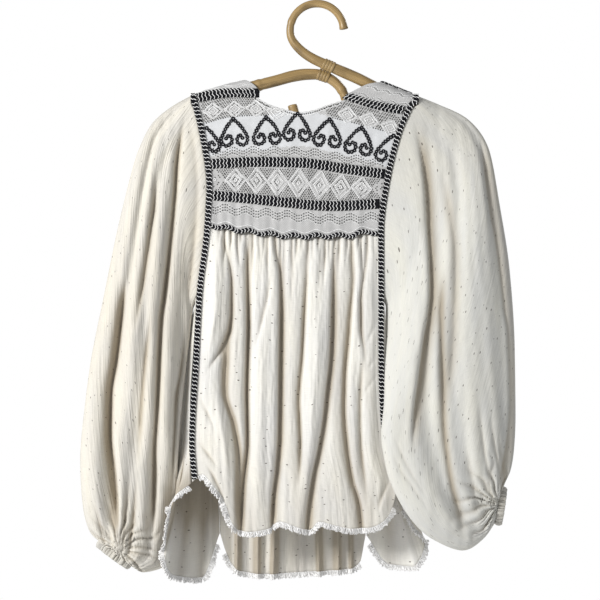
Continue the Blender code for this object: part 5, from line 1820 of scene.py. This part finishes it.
def seam_braid(side):
    index = 0 if side == "left" else 1
    front_seam, back_seam = SEAMS["front"][index], SEAMS["back"][index]
    height = ridge_left if side == "left" else ridge_right
    vent = BACK_VENT_LEFT if side == "left" else BACK_VENT_RIGHT
    points, normals = [], []
    for z in np.linspace(FRONT_VENT + 4, float(height(front_seam(-125))) - 3, 60):
        points.append((front_seam(z), -DEPTH["front"](z), z))
        normals.append((0, -1, 0))
    for turn in np.radians(np.arange(10, 180, 10)):
        x = float(front_seam(-115))
        middle = height(x)
        radius = DEPTH["front"](middle)
        points.append((x, -radius * math.cos(turn), middle + radius * math.sin(turn)))
        normals.append((0, -math.cos(turn), math.sin(turn)))
    for z in np.linspace(float(height(back_seam(-125))) - 3, vent + 4, 60):
        points.append((back_seam(z), DEPTH["back"](z), z))
        normals.append((0, 1, 0))
    at, length = track(np.array(points, float), np.array(normals, float))
    name = "braid_seam_" + side
    braids[name] = braid(name, at, length, SEAM_BRAID, 5.2, SEAM_MARKS, ON_CLOTH + 0.6, 0.5)


seam_braid("left")
seam_braid("right")

# %% [markdown]
# The hems are edged with looped cotton fringe. Each loop leaves the edge, swings out about six millimetres
# and comes back beside itself, no two quite alike. Two layers of loops hide the cord that carries them.

# %% Fringe
FRINGE_REACH = 7.2


def fringe(name, edge, inside, seed):
    lengths = np.concatenate([[0], np.cumsum(np.linalg.norm(np.diff(edge, axis=0), axis=1))])
    random = np.random.default_rng(seed)
    lines = []
    for layer in (-0.55, 0.55):
        for s in np.arange(1.0, lengths[-1] - 1.0, 2.05):
            s = s + random.normal(0, 0.25)
            root = np.array([np.interp(s, lengths, edge[:, k]) for k in range(3)])
            ahead = np.array([np.interp(s + 1.5, lengths, edge[:, k]) for k in range(3)])
            behind = np.array([np.interp(s - 1.5, lengths, edge[:, k]) for k in range(3)])
            base = np.array([np.interp(s, lengths, inside[:, k]) for k in range(3)])
            along = (ahead - behind) / max(np.linalg.norm(ahead - behind), 1e-6)
            out = root - base
            out -= (out @ along) * along
            out /= np.linalg.norm(out)
            off = np.cross(along, out)
            reach = FRINGE_REACH * random.uniform(0.72, 1.08)
            wide = random.uniform(1.0, 1.7)
            lean, tilt = random.normal(0, 0.18), random.normal(0, 0.16)
            loop = []
            for turn in np.linspace(-0.12, 1.12, 9) * math.pi:
                forward = 0.6 + (reach - 0.6) * max(math.sin(turn), -0.1)
                sideways = -wide * math.cos(turn)
                loop.append(root + out * forward + along * (sideways + lean * forward)
                            + off * (layer + tilt * forward + 0.25 * sideways))
            lines.append(np.array(loop))
    heading = edge + (edge - inside) / np.linalg.norm(edge - inside, axis=1)[:, None] * 0.4
    lines.append(heading)
    return cords(name, lines, 0.58, fringe_yarn, 4)


def panel_fringe(face, first, last, seed):
    columns = np.linspace(first, last, 300)
    points, _ = panel_grid(face, columns, np.array([0.985, 1.0]))
    return fringe("fringe_loops_" + face, points[1], points[0], seed)


def side_fringe(side, seed):
    shares = np.linspace(0.035, 0.965, 174)
    points = side_grid(side, shares, np.array([0.97, 1.0]))
    return fringe("fringe_loops_side_" + side, points[1], points[0], seed)


fringe_front = panel_fringe("front", 0.035, 0.965, 61)
fringe_back = panel_fringe("back", 0.04, 0.96, 62)
fringe_left, fringe_right = side_fringe("left", 63), side_fringe("right", 64)

# %% [markdown]
# The floor is a plain pale disc well below the hem. It isn't part of the blouse.

# %% Floor
def make_floor():
    turns = np.linspace(0, 2 * math.pi, 64, endpoint=False)
    ring = [(FLOOR_RADIUS * math.cos(t), FLOOR_RADIUS * math.sin(t), FLOOR_HEIGHT) for t in turns]
    mesh = bpy.data.meshes.new("floor")
    mesh.from_pydata(ring, [], [tuple(range(len(ring)))])
    material, tree, shader = new_material("floor_paint", 0.9, specular=0.2)
    place = node(tree, "ShaderNodeTexCoord").outputs["Object"]
    tone = remap(tree, noise(tree, place, 3.0, 3.0), 0.3, 0.7, 0.0, 1.0)
    paint = blend_colours(tree, tone, (0.88, 0.88, 0.88), (0.90, 0.90, 0.89))
    tree.links.new(paint, shader.inputs["Base Color"])
    mesh.materials.append(material)
    return link("floor", mesh)


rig.stage(make_floor())

# %% [markdown]
# Last, every piece is told which plain solid it stands for, which body it moves with and which finish it
# takes. Sheets state the size they were cut to: the longest row across and the longest column down, plus the
# cloth taken up by gathers.

# %% Tell the frame
def place_piece(obj, slot, *nodes):
    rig.ride(obj, "root")
    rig.slot(obj, slot)
    if nodes:
        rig.replaces(obj, *nodes)


place_piece(cane_right, "cane", "cane_hook_and_right_arm")
place_piece(cane_left, "cane", "cane_left_arm_and_curl")
place_piece(lashing_upper, "cane_skin", "binding_upper")
place_piece(lashing_lower, "cane_skin", "binding_lower")

SHEETS = [
    (yoke_front, "lace", "yoke_front"), (yoke_back, "lace", "yoke_back"), (strap_left, "lace", "strap_left"),
    (strap_right, "lace", "strap_right"), (gauze_front, "gauze", "panel_front"),
    (gauze_back, "gauze", "panel_back"), (side_left, "gauze", "side_panel_left"),
    (side_right, "gauze", "side_panel_right"), (sleeve_left, "gauze", "sleeve_left"),
    (sleeve_right, "gauze", "sleeve_right"), (cuff_left, "gauze", "cuff_left"),
    (cuff_right, "gauze", "cuff_right"),
]
for obj, slot, cad in SHEETS:
    place_piece(obj, slot, cad)
for obj in (*lace_front, *lace_back, *strap_lace_left, *strap_lace_right):
    place_piece(obj, "lace")
for obj in (scrolls_front, scrolls_back):
    place_piece(obj, "braid")
for name, (tape, threads) in braids.items():
    place_piece(tape, "braid", name)
    place_piece(threads, "braid")
for obj, cad in ((fringe_front, "fringe_front"), (fringe_back, "fringe_back"),
                 (fringe_left, "fringe_side_left"), (fringe_right, "fringe_side_right")):
    place_piece(obj, "fringe", cad)

# %% [markdown]
# A gathered piece is cut wider than it hangs. The numbers say how much more cloth went in than shows. A cuff
# is cut a little deeper than it shows, for its seam.

# %% Sheets
GATHERED_IN = {"gauze_front": 1.12, "gauze_back": 1.12, "gauze_sleeve_left": 1.05, "gauze_sleeve_right": 1.05}
HELD = dict.fromkeys(("gauze_front", "gauze_back", "gauze_cuff_left", "gauze_cuff_right"), "gathered")
CUFF_CUT = 0.012
SEWN_ON = {
    "gauze_front": [fringe_front], "gauze_back": [fringe_back],
    "gauze_side_left": [fringe_left], "gauze_side_right": [fringe_right],
    "lace_yoke_front": [*lace_front, scrolls_front], "lace_yoke_back": [*lace_back, scrolls_back],
    "lace_strap_left": strap_lace_left, "lace_strap_right": strap_lace_right,
}
HANGS_FROM = {
    "lace_strap_left": [cane_left], "lace_strap_right": [cane_right],
    "gauze_sleeve_left": [cane_left], "gauze_sleeve_right": [cane_right],
}
for obj, _, _ in SHEETS:
    width, length, area = measured[obj.name]
    more = GATHERED_IN.get(obj.name, 1.0)
    if "cuff" in obj.name:
        length, area = CUFF_CUT, CUFF_CUT * width
    flat_area = round(min(area, 0.99 * width * length) * more, 6)
    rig.sheet(obj, flat=(round(width * more, 3), length), held=HELD.get(obj.name, "hung"), area=flat_area,
             rests_on=HANGS_FROM.get(obj.name, ()), with_pieces=SEWN_ON.get(obj.name, ()))

# %% [markdown]
# The last cell writes two boxes, the plain solids' and the finished model's, so that they can be compared,
# and hands the scene over.

# %% Write the sizes and finish
with open("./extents.json", "w") as handle:
    json.dump({
        "cad": [list(map(float, corner)) for corner in cad_box],
        "visual": [list(map(float, corner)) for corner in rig.bounds()],
    }, handle)
